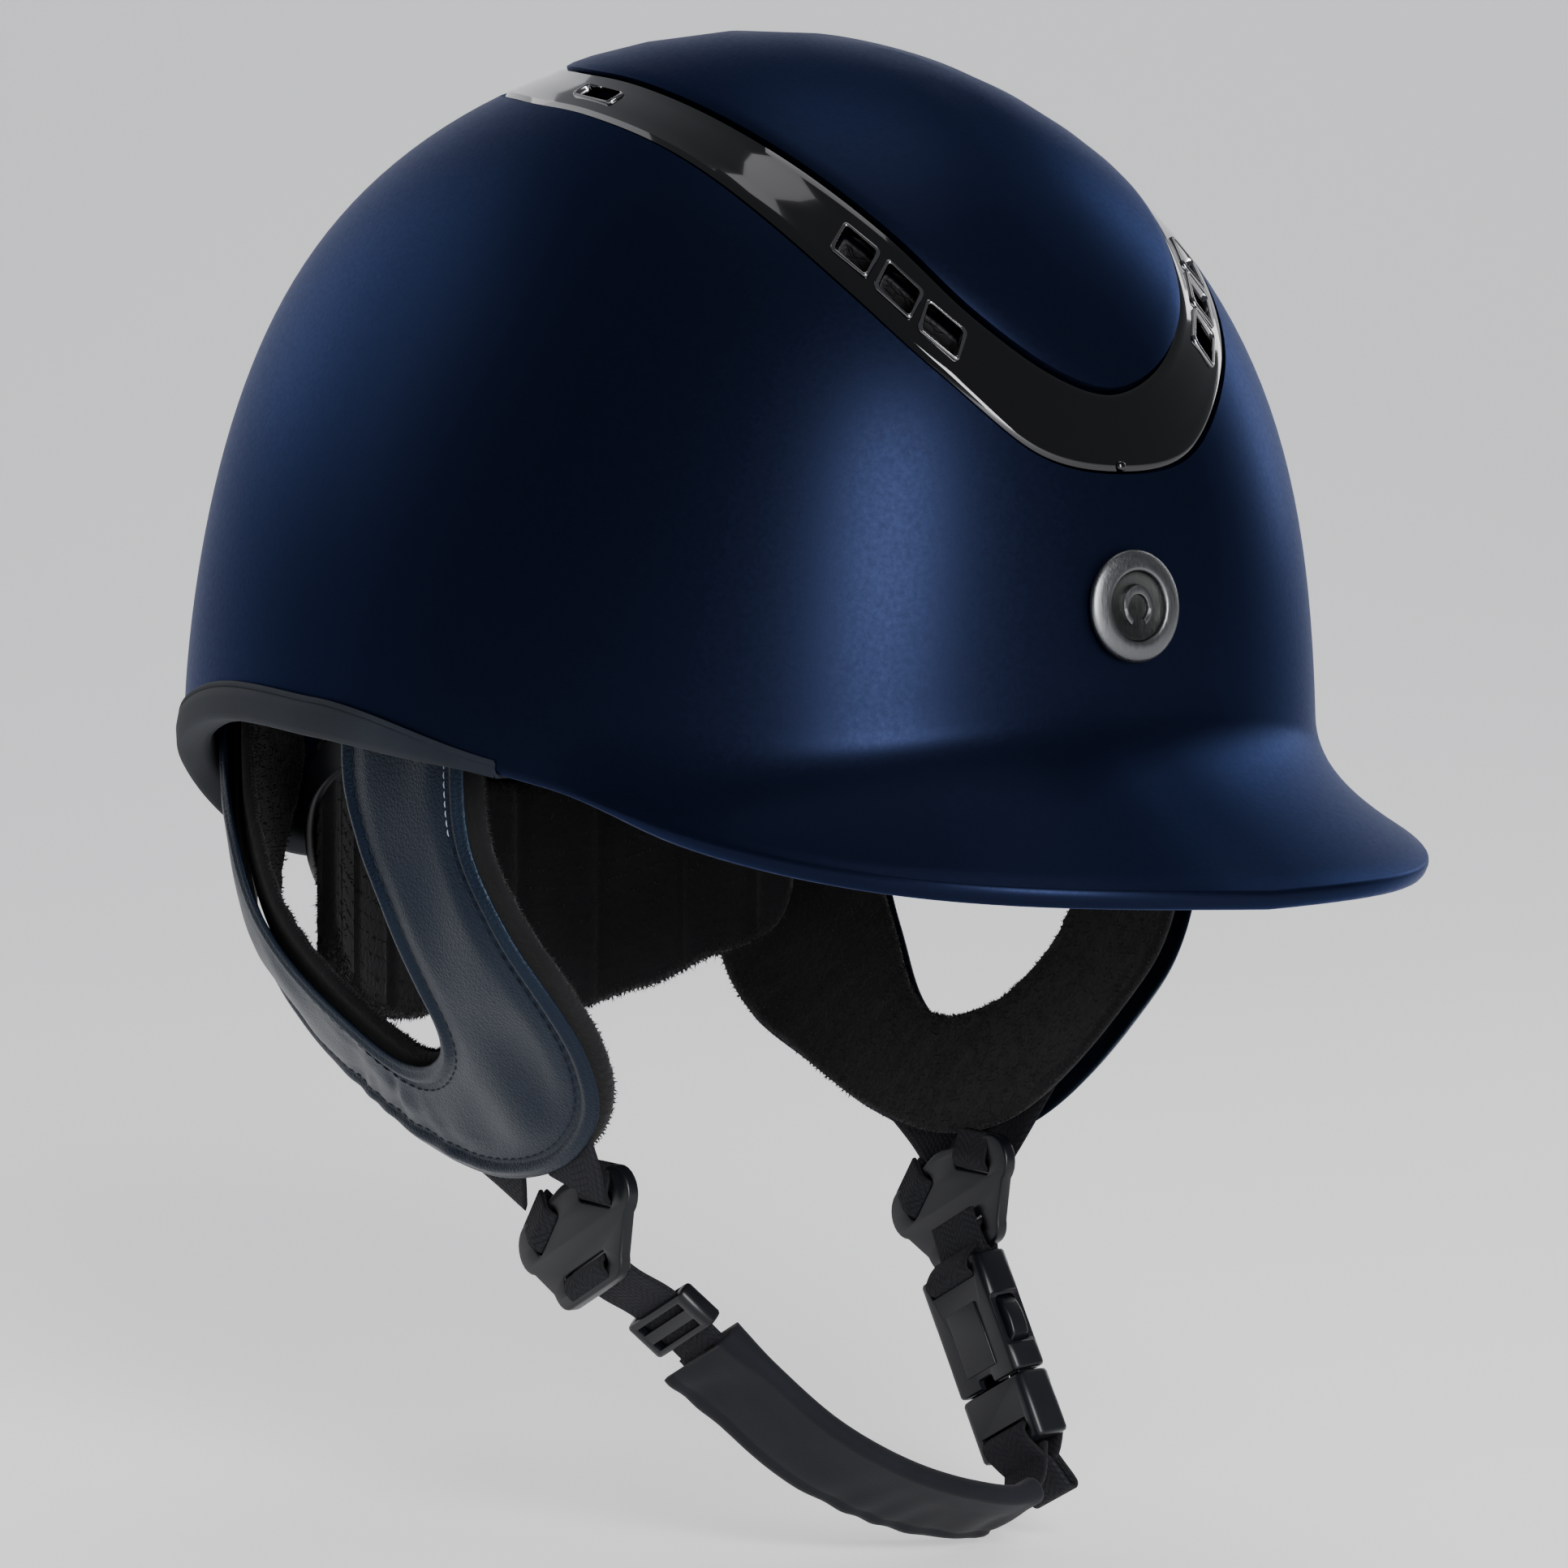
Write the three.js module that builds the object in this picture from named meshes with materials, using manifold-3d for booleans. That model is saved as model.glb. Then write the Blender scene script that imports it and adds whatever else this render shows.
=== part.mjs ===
// Equestrian riding helmet with a moulded peak, a dial-fitted nape cradle and a buckled chin harness.
// Millimetres. +Z up, the front of the helmet faces -Y, the wearer's right side is -X.
// The origin is the centre of the head opening, at the height of the brow.
import * as THREE from "three";
import { mergeVertices } from "three/addons/utils/BufferGeometryUtils.js";
import Module from "manifold-3d";

const wasm = await Module();
wasm.setup();

// ---- Driving dimensions -------------------------------------------------------------------------
const HALF_WIDTH = 110.7;
const FRONT_LENGTH = 135.6;
const REAR_LENGTH = 142.2;
const CROWN_HEIGHT = 165.5;
const FRONT_SQUARENESS = 2.313;
const REAR_SQUARENESS = 2.173;
const FRONT_SWELL = [0.508, -0.5685, 0.3872];
const REAR_SWELL = [0.175, 0.5094, -0.2387];
const SIDE_SWELL = [0.0994, 0.0524, -0.1527];

const SHELL_THICKNESS = 4.4;
const LINER_THICKNESS = 21;
const PAD_THICKNESS = 6;
const GAP = 0.4;

const PEAK_REACH = 43.4;
const PEAK_HALF_ANGLE = 62;
const PEAK_DROOP = 0.48;
const FLARE_RISE = 14;
const FLARE_HEIGHT = 1.3 * FLARE_RISE;
const NAPE_TUCK = 6;
const LIP_ROUNDING = 1.2;

const RIM_HEIGHT = 6.5;
const RIM_SKIN = 1.3;
const RIM_START = 67.5;

const TRIM_DEPTH = 2.2;
const CROWN_RISE = 0.9;
const VENT_DEPTH = 17;

const BADGE_RADIUS = 11.5;
const BADGE_HEIGHT = 41;

const WEBBING_WIDTH = 16;
const WEBBING_THICKNESS = 1.2;
const COVER_THICKNESS = 1.4;
const LINING_THICKNESS = 3;

const DIAL_RADIUS = 15;
const DIAL_DEPTH = 8;
const CRADLE_THICKNESS = 2.4;

const RING_STEPS = 48;
const RING_STEP = 360 / RING_STEPS;
const DOME_ROWS = 10;
const FLARE_ROWS = 4;
const LOOP_STEPS = 48;

// ---- Curves and surfaces ------------------------------------------------------------------------
const radians = THREE.MathUtils.degToRad;
const clamp = THREE.MathUtils.clamp;
const smooth = THREE.MathUtils.smoothstep;
const vec = (x, y, z) => new THREE.Vector3(x, y, z);
const mix = (a, b, t) => a + (b - a) * t;

// Smooth value at x through hand-set [x, value] knots.
function through(knots, x) {
  const last = knots.length - 2;
  let i = 0;
  while (i < last && x > knots[i + 1][0]) i++;
  const slope = (k) => {
    const a = knots[Math.max(k - 1, 0)];
    const b = knots[Math.min(k + 1, knots.length - 1)];
    return (b[1] - a[1]) / (b[0] - a[0]);
  };
  const span = knots[i + 1][0] - knots[i][0];
  const t = clamp((x - knots[i][0]) / span, 0, 1);
  const h = t * t * (3 - 2 * t);
  const rise = (t * t * t - 2 * t * t + t) * span * slope(i) + (t * t * t - t * t) * span * slope(i + 1);
  return mix(knots[i][1], knots[i + 1][1], h) + rise;
}

const swell = (c, t) => 1 + c[0] * t ** 2 + c[1] * t ** 4 + c[2] * t ** 6;

// Egg-shaped body of the shell. Angle is in degrees from the front, towards +X; height is z.
function bodyPoint(angle, height) {
  const t = clamp(height / CROWN_HEIGHT, -1, 1);
  const fade = Math.sqrt(1 - t * t);
  const c = Math.cos(radians(angle));
  const s = Math.sin(radians(angle));
  const front = c > 0;
  const square = 2 + ((front ? FRONT_SQUARENESS : REAR_SQUARENESS) - 2) * (1 - t ** 4);
  const length = (front ? FRONT_LENGTH : REAR_LENGTH) * swell(front ? FRONT_SWELL : REAR_SWELL, t);
  const round = (v) => Math.sign(v) * Math.abs(v) ** (2 / square);
  return vec(round(s) * HALF_WIDTH * swell(SIDE_SWELL, t) * fade, -round(c) * length * fade, height);
}

// Angle away from the front, 0 to 180, the same on both sides.
const turnFromFront = (angle) => Math.abs(((angle + 540) % 360) - 180);

const EDGE_HEIGHT = [
  [0, -14], [24, -11], [44, -3.5], [64, 6.5], [84, 14], [103, 18.3], [118, 14.5], [133, 5],
  [158, -16], [180, -21],
];
const edgeHeight = (angle) => through(EDGE_HEIGHT, turnFromFront(angle));

// How far the lower edge stands out from the body: the peak in front, a slight tuck at the nape.
function edgeReach(angle) {
  const turn = turnFromFront(angle);
  if (turn < PEAK_HALF_ANGLE) return PEAK_REACH * Math.cos(radians((90 * turn) / PEAK_HALF_ANGLE)) ** 1.6;
  return -NAPE_TUCK * smooth(turn, 120, 175);
}

// Outer surface of the shell. Level runs 0 at the lower edge, 1 where the flare ends, 2 at the crown.
function shellPoint(angle, level) {
  const low = edgeHeight(angle);
  const reach = edgeReach(angle);
  const bend = low + Math.hypot(PEAK_DROOP * Math.max(reach, 0), FLARE_RISE / 2);
  const top = bend + 0.8 * FLARE_RISE;
  if (level <= 1) {
    const t = level;
    const height = (1 - t) ** 2 * low + 2 * t * (1 - t) * bend + t * t * top;
    return bodyPoint(angle, height).addScaledVector(outward(angle, height), reach * (1 - t) ** 2);
  }
  const start = Math.asin(top / CROWN_HEIGHT);
  return bodyPoint(angle, CROWN_HEIGHT * Math.sin(mix(start, Math.PI / 2, level - 1)));
}

// Horizontal direction straight out of the body.
function outward(angle, height) {
  const a = bodyPoint(angle - 0.5, height);
  const b = bodyPoint(angle + 0.5, height);
  return vec(b.y - a.y, a.x - b.x, 0).normalize();
}

// Outward normal of a surface given as f(u, v), with u running towards +X in front and v upwards.
function normalOf(surface, u, v, du = 0.5, dv = 0.01) {
  const along = surface(u + du, v).sub(surface(u - du, v));
  const up = surface(u, v + dv).sub(surface(u, v - dv));
  return along.cross(up).normalize();
}

// Point at a distance out of (or, negative, into) a surface.
function offsetPoint(surface, u, v, distance) {
  return surface(u, v).addScaledVector(normalOf(surface, u, v), distance);
}

const shellOffset = (angle, level, distance) => offsetPoint(shellPoint, angle, level, distance);
const bodyOffset = (angle, height, distance) => offsetPoint(bodyPoint, angle, height, distance);

// ---- Solid helpers ------------------------------------------------------------------------------
// Closed geometry from triangles of points; corners that coincide are merged and faces with no area dropped.
function closedGeometry(triangles) {
  const soup = new THREE.BufferGeometry();
  const values = triangles.flat().flatMap((p) => [p.x, p.y, p.z]);
  soup.setAttribute("position", new THREE.Float32BufferAttribute(values, 3));
  const merged = mergeVertices(soup, 1e-3);
  const ids = Array.from(merged.index.array);
  const kept = [];
  for (let i = 0; i < ids.length; i += 3) {
    const [a, b, c] = ids.slice(i, i + 3);
    if (a !== b && b !== c && c !== a) kept.push(a, b, c);
  }
  merged.setIndex(kept);
  return facingOut(merged);
}

// Six times the signed volume decides whether the faces are turned round.
function facingOut(geometry) {
  const p = geometry.attributes.position;
  const at = (i) => vec(p.getX(i), p.getY(i), p.getZ(i));
  const ids = Array.from(geometry.index.array);
  let volume = 0;
  for (let i = 0; i < ids.length; i += 3) {
    volume += at(ids[i]).dot(at(ids[i + 1]).cross(at(ids[i + 2])));
  }
  if (volume < 0) for (let i = 0; i < ids.length; i += 3) [ids[i + 1], ids[i + 2]] = [ids[i + 2], ids[i + 1]];
  geometry.setIndex(ids);
  return geometry;
}

// Solid swept through stations. A station is {outer, inner}: two rows of the same number of points.
function sweep(stations, closed = false) {
  const rings = stations.map((s) => [...s.outer, ...[...s.inner].reverse()]);
  const triangles = [];
  const count = rings[0].length;
  const quad = (a, b, c, d) => triangles.push([a, b, c], [a, c, d]);
  const spans = closed ? rings.length : rings.length - 1;
  for (let i = 0; i < spans; i++) {
    const here = rings[i];
    const next = rings[(i + 1) % rings.length];
    for (let j = 0; j < count; j++) quad(here[j], next[j], next[(j + 1) % count], here[(j + 1) % count]);
  }
  if (!closed) {
    for (const [ring, flip] of [[rings[0], false], [rings.at(-1), true]]) {
      for (let j = 0; j < count / 2 - 1; j++) {
        const corners = [ring[j], ring[j + 1], ring[count - 2 - j], ring[count - 1 - j]];
        quad(...(flip ? corners.reverse() : corners));
      }
    }
  }
  return closedGeometry(triangles);
}

// Evenly spaced values from a to b.
const steps = (a, b, count) => Array.from({ length: count + 1 }, (_, i) => mix(a, b, i / count));
const ringAngles = Array.from({ length: RING_STEPS }, (_, i) => (360 * i) / RING_STEPS);

// Panel between two distances from a surface.
function panel(surface, us, vsAt, outside, inside, closed = false) {
  return sweep(
    us.map((u) => {
      const vs = vsAt(u);
      return {
        outer: vs.map((v) => offsetPoint(surface, u, v, outside)),
        inner: vs.map((v) => offsetPoint(surface, u, v, inside)),
      };
    }),
    closed,
  );
}

function toSolid(geometry) {
  const bare = geometry.index ? geometry.toNonIndexed() : geometry.clone();
  bare.deleteAttribute("normal");
  bare.deleteAttribute("uv");
  const merged = mergeVertices(bare, 1e-3);
  return new wasm.Manifold(
    new wasm.Mesh({
      numProp: 3,
      vertProperties: merged.attributes.position.array,
      triVerts: new Uint32Array(merged.index.array),
    }),
  );
}

function toGeometry(solid) {
  const made = solid.getMesh();
  const geometry = new THREE.BufferGeometry();
  geometry.setAttribute("position", new THREE.BufferAttribute(new Float32Array(made.vertProperties), 3));
  geometry.setIndex(new THREE.BufferAttribute(new Uint32Array(made.triVerts), 1));
  return geometry;
}

const cut = (geometry, ...tools) =>
  toGeometry(tools.reduce((solid, tool) => solid.subtract(toSolid(tool)), toSolid(geometry)));
const join = (geometry, ...others) =>
  toGeometry(others.reduce((solid, other) => solid.add(toSolid(other)), toSolid(geometry)));

const box = (x, y, z, cx = 0, cy = 0, cz = 0) => new THREE.BoxGeometry(x, y, z).translate(cx, cy, cz);

// Moves a geometry so that its z axis points along a direction and its y axis stays as near up as it can.
function seat(geometry, at, direction) {
  const z = direction.clone().normalize();
  const x = vec(0, 0, 1).cross(z).normalize();
  const y = z.clone().cross(x);
  return geometry.applyMatrix4(new THREE.Matrix4().makeBasis(x, y, z).setPosition(at));
}

// ---- Materials ----------------------------------------------------------------------------------
const finish = (color, roughness, metalness = 0) =>
  new THREE.MeshStandardMaterial({ color, roughness, metalness });
const MATERIALS = {
  shell: () => finish(0x16213f, 0.42, 0.55),
  trim: () => finish(0x1b1c20, 0.12, 0.9),
  badge: () => finish(0x8a8c8e, 0.35, 1),
  edging: () => finish(0x262e3a, 0.7),
  leather: () => finish(0x141b2c, 0.55),
  textile: () => finish(0x0b0b0d, 0.95),
  foam: () => finish(0x17181b, 0.9),
  webbing: () => finish(0x0d0e11, 0.85),
  plastic: () => finish(0x101114, 0.4),
};

const helmet = new THREE.Group();
function addPart(name, geometry, material, parent = helmet) {
  const mesh = new THREE.Mesh(geometry, MATERIALS[material]());
  mesh.name = name;
  parent.add(mesh);
  return mesh;
}
const SIDES = [["left", 1], ["right", -1]];

// ---- Vent frame loop ----------------------------------------------------------------------------
// The loop is set out on a board tilted to face the front of the crown, then dropped square onto the body.
const BOARD_TILT = 50;
const BOARD_UP = vec(0, Math.sin(radians(BOARD_TILT)), Math.cos(radians(BOARD_TILT)));
const BOARD_OUT = vec(0, -Math.cos(radians(BOARD_TILT)), Math.sin(radians(BOARD_TILT)));

// Point of the body under a board position, by closing in on the height along the board's normal.
function underBoard(across, up) {
  let near = -60;
  let far = 260;
  const inside = (p) => {
    if (p.z >= CROWN_HEIGHT) return false;
    const angle = THREE.MathUtils.radToDeg(Math.atan2(p.x, -p.y));
    const rim = bodyPoint(bodyAngle(angle, p.z), p.z);
    return Math.hypot(p.x, p.y) < Math.hypot(rim.x, rim.y);
  };
  for (let i = 0; i < 34; i++) {
    const middle = (near + far) / 2;
    const p = vec(across, 0, 0).addScaledVector(BOARD_UP, up).addScaledVector(BOARD_OUT, middle);
    if (inside(p)) near = middle;
    else far = middle;
  }
  return vec(across, 0, 0).addScaledVector(BOARD_UP, up).addScaledVector(BOARD_OUT, near);
}

// Body angle whose point lies in a given plan direction.
function bodyAngle(direction, height) {
  let angle = direction;
  for (let i = 0; i < 6; i++) {
    const p = bodyPoint(angle, height);
    const miss = direction - THREE.MathUtils.radToDeg(Math.atan2(p.x, -p.y));
    angle += ((miss + 540) % 360) - 180;
  }
  return angle;
}

// Right half of each outline on the board, as [across, up], from the foot at the brow round behind the crown.
const OUTER_OUTLINE = [
  [0, -57.5], [20, -53.5], [38, -34.8], [48, -14.5], [54.2, 11], [56.3, 45], [54, 78], [46, 110],
  [29, 136], [0, 148],
];
const INNER_OUTLINE = [
  [0, -44], [14, -39.5], [27.5, -26], [36.5, -5], [42.5, 18], [45.5, 46], [43.5, 77], [36, 107],
  [22, 129], [0, 139],
];

function loopCurve(outline) {
  const mirrored = outline.slice(1, -1).reverse().map(([across, up]) => [-across, up]);
  const points = [...outline, ...mirrored].map(([across, up]) => vec(across, up, 0));
  return new THREE.CatmullRomCurve3(points, true);
}
const outerCurve = loopCurve(OUTER_OUTLINE);
const innerCurve = loopCurve(INNER_OUTLINE);
const CROWN_CENTRE = vec(0, 45, 0);

// Board position for a turn round the loop and a share outwards: 0 centre, 1 inner outline, 2 outer outline.
function boardPoint(turn, share) {
  const inner = innerCurve.getPoint(((turn % 1) + 1) % 1);
  const outer = outerCurve.getPoint(((turn % 1) + 1) % 1);
  return share <= 1 ? CROWN_CENTRE.clone().lerp(inner, share) : inner.lerp(outer, share - 1);
}

// Body normal at a point under the board, from three neighbouring points.
function loopOffset(board, distance) {
  const reach = 0.6;
  const p = underBoard(board.x, board.y);
  const right = underBoard(board.x + reach, board.y).sub(underBoard(board.x - reach, board.y));
  const up = underBoard(board.x, board.y + reach).sub(underBoard(board.x, board.y - reach));
  return p.addScaledVector(right.cross(up).normalize(), distance);
}

// Board position moved sideways off an outline, so that neighbouring pieces keep a gap between their edges.
function beside(turn, share, sideways) {
  const p = boardPoint(turn, share);
  const ahead = boardPoint(turn + 0.002, share);
  const behind = boardPoint(turn - 0.002, share);
  const run = ahead.sub(behind).normalize();
  return p.add(vec(run.y, -run.x, 0).multiplyScalar(sideways));
}

const loopTurns = Array.from({ length: LOOP_STEPS }, (_, i) => i / LOOP_STEPS);

// Disc of rings from the centre of the crown out to a share, moved sideways at its rim.
function crownDisc(shares, rimMove, top, bottom) {
  const last = shares.length - 1;
  const place = (turn, i, distance) => {
    const board = i === last ? beside(turn, shares[i], rimMove) : boardPoint(turn, shares[i]);
    return loopOffset(board, distance);
  };
  return sweep(
    loopTurns.map((turn) => ({
      outer: shares.map((_, i) => place(turn, i, top(shares[i]))),
      inner: shares.map((_, i) => place(turn, i, bottom)),
    })),
    true,
  );
}

// ---- Shell --------------------------------------------------------------------------------------
const shellLevels = [...steps(0, 1, FLARE_ROWS).slice(0, -1), ...steps(1, 2, DOME_ROWS)];

function outerShell() {
  const pole = vec(0, 0, CROWN_HEIGHT);
  const stations = ringAngles.map((angle) => {
    const row = (distance) => [
      ...shellLevels.slice(0, -1).map((level) => shellOffset(angle, level, distance)),
      pole.clone().add(vec(0, 0, distance)),
    ];
    const lip = shellPoint(angle, 0).sub(shellPoint(angle, 0.05)).normalize().multiplyScalar(LIP_ROUNDING);
    const middle = shellOffset(angle, 0, -SHELL_THICKNESS / 2).add(lip);
    return { outer: [middle, ...row(0)], inner: [middle, ...row(-SHELL_THICKNESS)] };
  });
  const recess = crownDisc([0, 0.35, 0.7, 1, 2], 0.5, () => 6, -TRIM_DEPTH - GAP);
  return cut(sweep(stations, true), recess, ...ventTools());
}

function crownPanel() {
  const top = (share) => CROWN_RISE * (share >= 1 ? 0.2 : 1);
  return crownDisc([0, 0.35, 0.7, 0.94, 1], -0.4, top, -TRIM_DEPTH);
}

// Three slanted windows a side through the vent frame, the shell and part of the liner.
const VENT_TURNS = [0.118, 0.148, 0.178];
const VENT_LENGTH = 9.5;
const VENT_WIDTH = 6.2;
const VENT_SLANT = 24;
const REAR_SLOT_TURN = 0.345;
const REAR_SLOT_LENGTH = 17;
const REAR_SLOT_WIDTH = 4;

function windowTool(turn, length, width, slant) {
  const board = boardPoint(turn, 1.52);
  const next = boardPoint(turn + 0.01, 1.52);
  const at = loopOffset(board, 0);
  const out = loopOffset(board, 1).sub(at).normalize();
  const run = loopOffset(next, 0).sub(at).normalize();
  const lean = Math.tan(radians(slant)) * width;
  const shape = new THREE.Shape([
    new THREE.Vector2(-length / 2 - lean / 2, -width / 2),
    new THREE.Vector2(length / 2 - lean / 2, -width / 2),
    new THREE.Vector2(length / 2 + lean / 2, width / 2),
    new THREE.Vector2(-length / 2 + lean / 2, width / 2),
  ]);
  const tool = new THREE.ExtrudeGeometry(shape, { depth: VENT_DEPTH + 5, bevelEnabled: false, steps: 1 });
  tool.translate(0, 0, -VENT_DEPTH);
  const side = out.clone().cross(run);
  return tool.applyMatrix4(new THREE.Matrix4().makeBasis(run, side, out).setPosition(at));
}

function ventTools() {
  const tools = [];
  for (const way of [1, -1]) {
    for (const turn of VENT_TURNS) {
      tools.push(windowTool(way * turn, VENT_LENGTH, VENT_WIDTH, way * VENT_SLANT));
    }
    tools.push(windowTool(way * REAR_SLOT_TURN, REAR_SLOT_LENGTH, REAR_SLOT_WIDTH, 0));
  }
  return tools;
}

function ventTrim() {
  const stations = loopTurns.map((turn) => {
    const edges = [beside(turn, 1, 0), boardPoint(turn, 1.5), beside(turn, 2, 0)];
    return {
      outer: edges.map((board, i) => loopOffset(board, i === 1 ? 0 : -0.5)),
      inner: edges.map((board) => loopOffset(board, -TRIM_DEPTH)),
    };
  });
  return cut(sweep(stations, true), ...ventTools());
}

// ---- Badge --------------------------------------------------------------------------------------
const badgeSeat = bodyPoint(0, BADGE_HEIGHT);
const badgeOut = normalOf(bodyPoint, 0, BADGE_HEIGHT, 0.5, 1);
const BADGE_FACETS = 24;
function turned(profile, facets) {
  const lathe = new THREE.LatheGeometry(profile.map(([r, h]) => new THREE.Vector2(r, h)), facets).toNonIndexed();
  const p = lathe.attributes.position;
  const corner = (i) => vec(p.getX(i), -p.getZ(i), p.getY(i));
  const face = (i) => [corner(3 * i), corner(3 * i + 1), corner(3 * i + 2)];
  const faces = Array.from({ length: p.count / 3 }, (_, i) => face(i));
  return closedGeometry(faces);
}

function badgeBezel() {
  const r = BADGE_RADIUS;
  const profile = [
    [r * 0.66, 1.6], [r * 0.66, 3.1], [r * 0.72, 3.3], [r * 0.95, 2.5], [r, 1.9], [r, 1.6], [r * 0.66, 1.6],
  ];
  return seat(turned(profile, BADGE_FACETS), badgeSeat, badgeOut);
}

function badgeDisc() {
  const r = BADGE_RADIUS;
  const profile = [[0, 0.7], [r * 0.9, 0.7], [r * 0.9, 1.3], [r * 0.62, 1.3], [r * 0.62, 2.6], [0, 2.9]];
  return seat(turned(profile, BADGE_FACETS), badgeSeat, badgeOut);
}

// ---- Edge pieces --------------------------------------------------------------------------------
function rimEdging() {
  const angles = steps(RIM_START, 360 - RIM_START, (360 - 2 * RIM_START) / RING_STEP);
  const stations = angles.map((angle) => {
    const turn = turnFromFront(angle);
    const tall = mix(2.2, RIM_HEIGHT, smooth(turn, RIM_START, RIM_START + 22));
    const foot = shellPoint(angle, 0);
    const out = normalOf(shellPoint, angle, 0);
    const up = shellPoint(angle, 0.06).sub(foot).normalize();
    const at = (sideways, rise) =>
      rise > 0
        ? shellOffset(angle, rise / FLARE_HEIGHT, sideways)
        : foot.clone().addScaledVector(out, sideways).addScaledVector(up, rise);
    const inside = -SHELL_THICKNESS;
    const down = -LIP_ROUNDING - GAP;
    return {
      outer: [
        at(GAP + RIM_SKIN * 0.5, tall),
        at(GAP + RIM_SKIN, tall - 1.5),
        at(GAP + RIM_SKIN, down),
        at(GAP, down - RIM_SKIN),
        at(inside - GAP, down - RIM_SKIN),
        at(inside - GAP - RIM_SKIN, down),
        at(inside - GAP - RIM_SKIN, tall),
      ],
      inner: [
        at(GAP, tall),
        at(GAP, tall - 1.5),
        at(GAP, down + 0.2),
        at(GAP * 0.5, down),
        at(inside - GAP * 0.5, down),
        at(inside - GAP, down + 0.2),
        at(inside - GAP, tall),
      ],
    };
  });
  return sweep(stations);
}

const PEAK_LINING_TURN = 52.5;
function peakLining() {
  const angles = steps(-PEAK_LINING_TURN, PEAK_LINING_TURN, (2 * PEAK_LINING_TURN) / RING_STEP);
  const inside = -SHELL_THICKNESS - 2 * GAP;
  return panel(shellPoint, angles, () => steps(0.1, 0.8, 4), inside, inside - 1);
}

// ---- Liner and pads -----------------------------------------------------------------------------
const LINER_LOW = [[0, 14], [50, 18], [70, 30], [100, 36], [125, 33], [140, 30], [163, 29], [180, 14]];
const LINER_OUT = -SHELL_THICKNESS - 2.5 * GAP;
const LINER_IN = LINER_OUT - LINER_THICKNESS;
const COMFORT_OUT = LINER_IN - 5 * GAP;
const COMFORT_THICKNESS = 1.6;
const COMFORT_LOW = 46;
const PAD_OUT = COMFORT_OUT - COMFORT_THICKNESS - 4 * GAP;

function dome(lowAt, outside, inside, stride = 1) {
  const stations = ringAngles.filter((_, i) => i % stride === 0).map((angle) => {
    const start = Math.asin(lowAt(angle) / CROWN_HEIGHT);
    const heights = steps(start, Math.PI / 2, DOME_ROWS / stride).map((a) => CROWN_HEIGHT * Math.sin(a));
    const row = (distance) => [
      ...heights.slice(0, -1).map((height) => offsetPoint(bodyPoint, angle, height, distance)),
      vec(0, 0, CROWN_HEIGHT + distance),
    ];
    return { outer: row(outside), inner: row(inside) };
  });
  return sweep(stations, true);
}

const bodyPanel = (from, to, count, low, high, rows, outside, inside) => {
  const surface = (u, v) => bodyPoint(u, v * 100);
  return panel(surface, steps(from, to, count), () => steps(low / 100, high / 100, rows), outside, inside);
};

const linerLow = (angle) => through(LINER_LOW, turnFromFront(angle));

// ---- Nape cradle --------------------------------------------------------------------------------
// Middle line of the cradle and its two arms, with the band's height along it.
const CRADLE_LINE = new THREE.CatmullRomCurve3([
  vec(-75, -2, 14), vec(-75, 22, 13), vec(-74, 45, 9), vec(-69, 68, 0), vec(-56, 90, -14), vec(-32, 107, -26),
  vec(0, 113, -30),
  vec(32, 107, -26), vec(56, 90, -14), vec(69, 68, 0), vec(74, 45, 9), vec(75, 22, 13), vec(75, -2, 14),
]);
const CRADLE_HEIGHTS = [[0, 10], [0.25, 10], [0.36, 22], [0.5, 34], [0.64, 22], [0.75, 10], [1, 10]];
const NAPE_PAD_THICKNESS = 8;

function cradleStation(s, height, outside, inside, drop = 0) {
  const p = CRADLE_LINE.getPointAt(s);
  const run = CRADLE_LINE.getTangentAt(s);
  const out = vec(run.y, -run.x, 0).normalize();
  if (out.dot(vec(p.x, p.y, 0)) < 0) out.negate();
  const rises = steps(-0.5, 0.5, 4).map((share) => share * height - drop);
  const line = (distance) => rises.map((rise) => p.clone().addScaledVector(out, distance).add(vec(0, 0, rise)));
  return { outer: line(outside), inner: line(inside) };
}

const cradleBand = () =>
  sweep(steps(0, 1, 32).map((s) => cradleStation(s, through(CRADLE_HEIGHTS, s), 0, -CRADLE_THICKNESS)));

const NAPE_PAD_SPAN = [0.22, 0.78];
function napePad() {
  const inside = -CRADLE_THICKNESS - GAP;
  return sweep(
    steps(NAPE_PAD_SPAN[0], NAPE_PAD_SPAN[1], 22).map((s) => {
      const edge = Math.abs(s - 0.5) / (0.5 - NAPE_PAD_SPAN[0]);
      const height = mix(54, 50, edge ** 2);
      return cradleStation(s, height, inside, inside - mix(NAPE_PAD_THICKNESS, 4, edge ** 4), mix(0, 12, edge));
    }),
  );
}

const DIAL_CENTRE = vec(0, 113.4, -36);
const dialOut = vec(0, 1, 0);

function dialHousing() {
  const shape = new THREE.Shape();
  shape.absellipse(0, 0, 27, 14, 0, Math.PI * 2);
  const plate = new THREE.ExtrudeGeometry(shape, { depth: 3, bevelEnabled: false, curveSegments: 20 });
  const boss = new THREE.CylinderGeometry(3, 3, 8, 20).rotateX(Math.PI / 2).translate(0, 0, 5);
  return seat(join(plate, boss), DIAL_CENTRE, dialOut);
}

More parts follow.
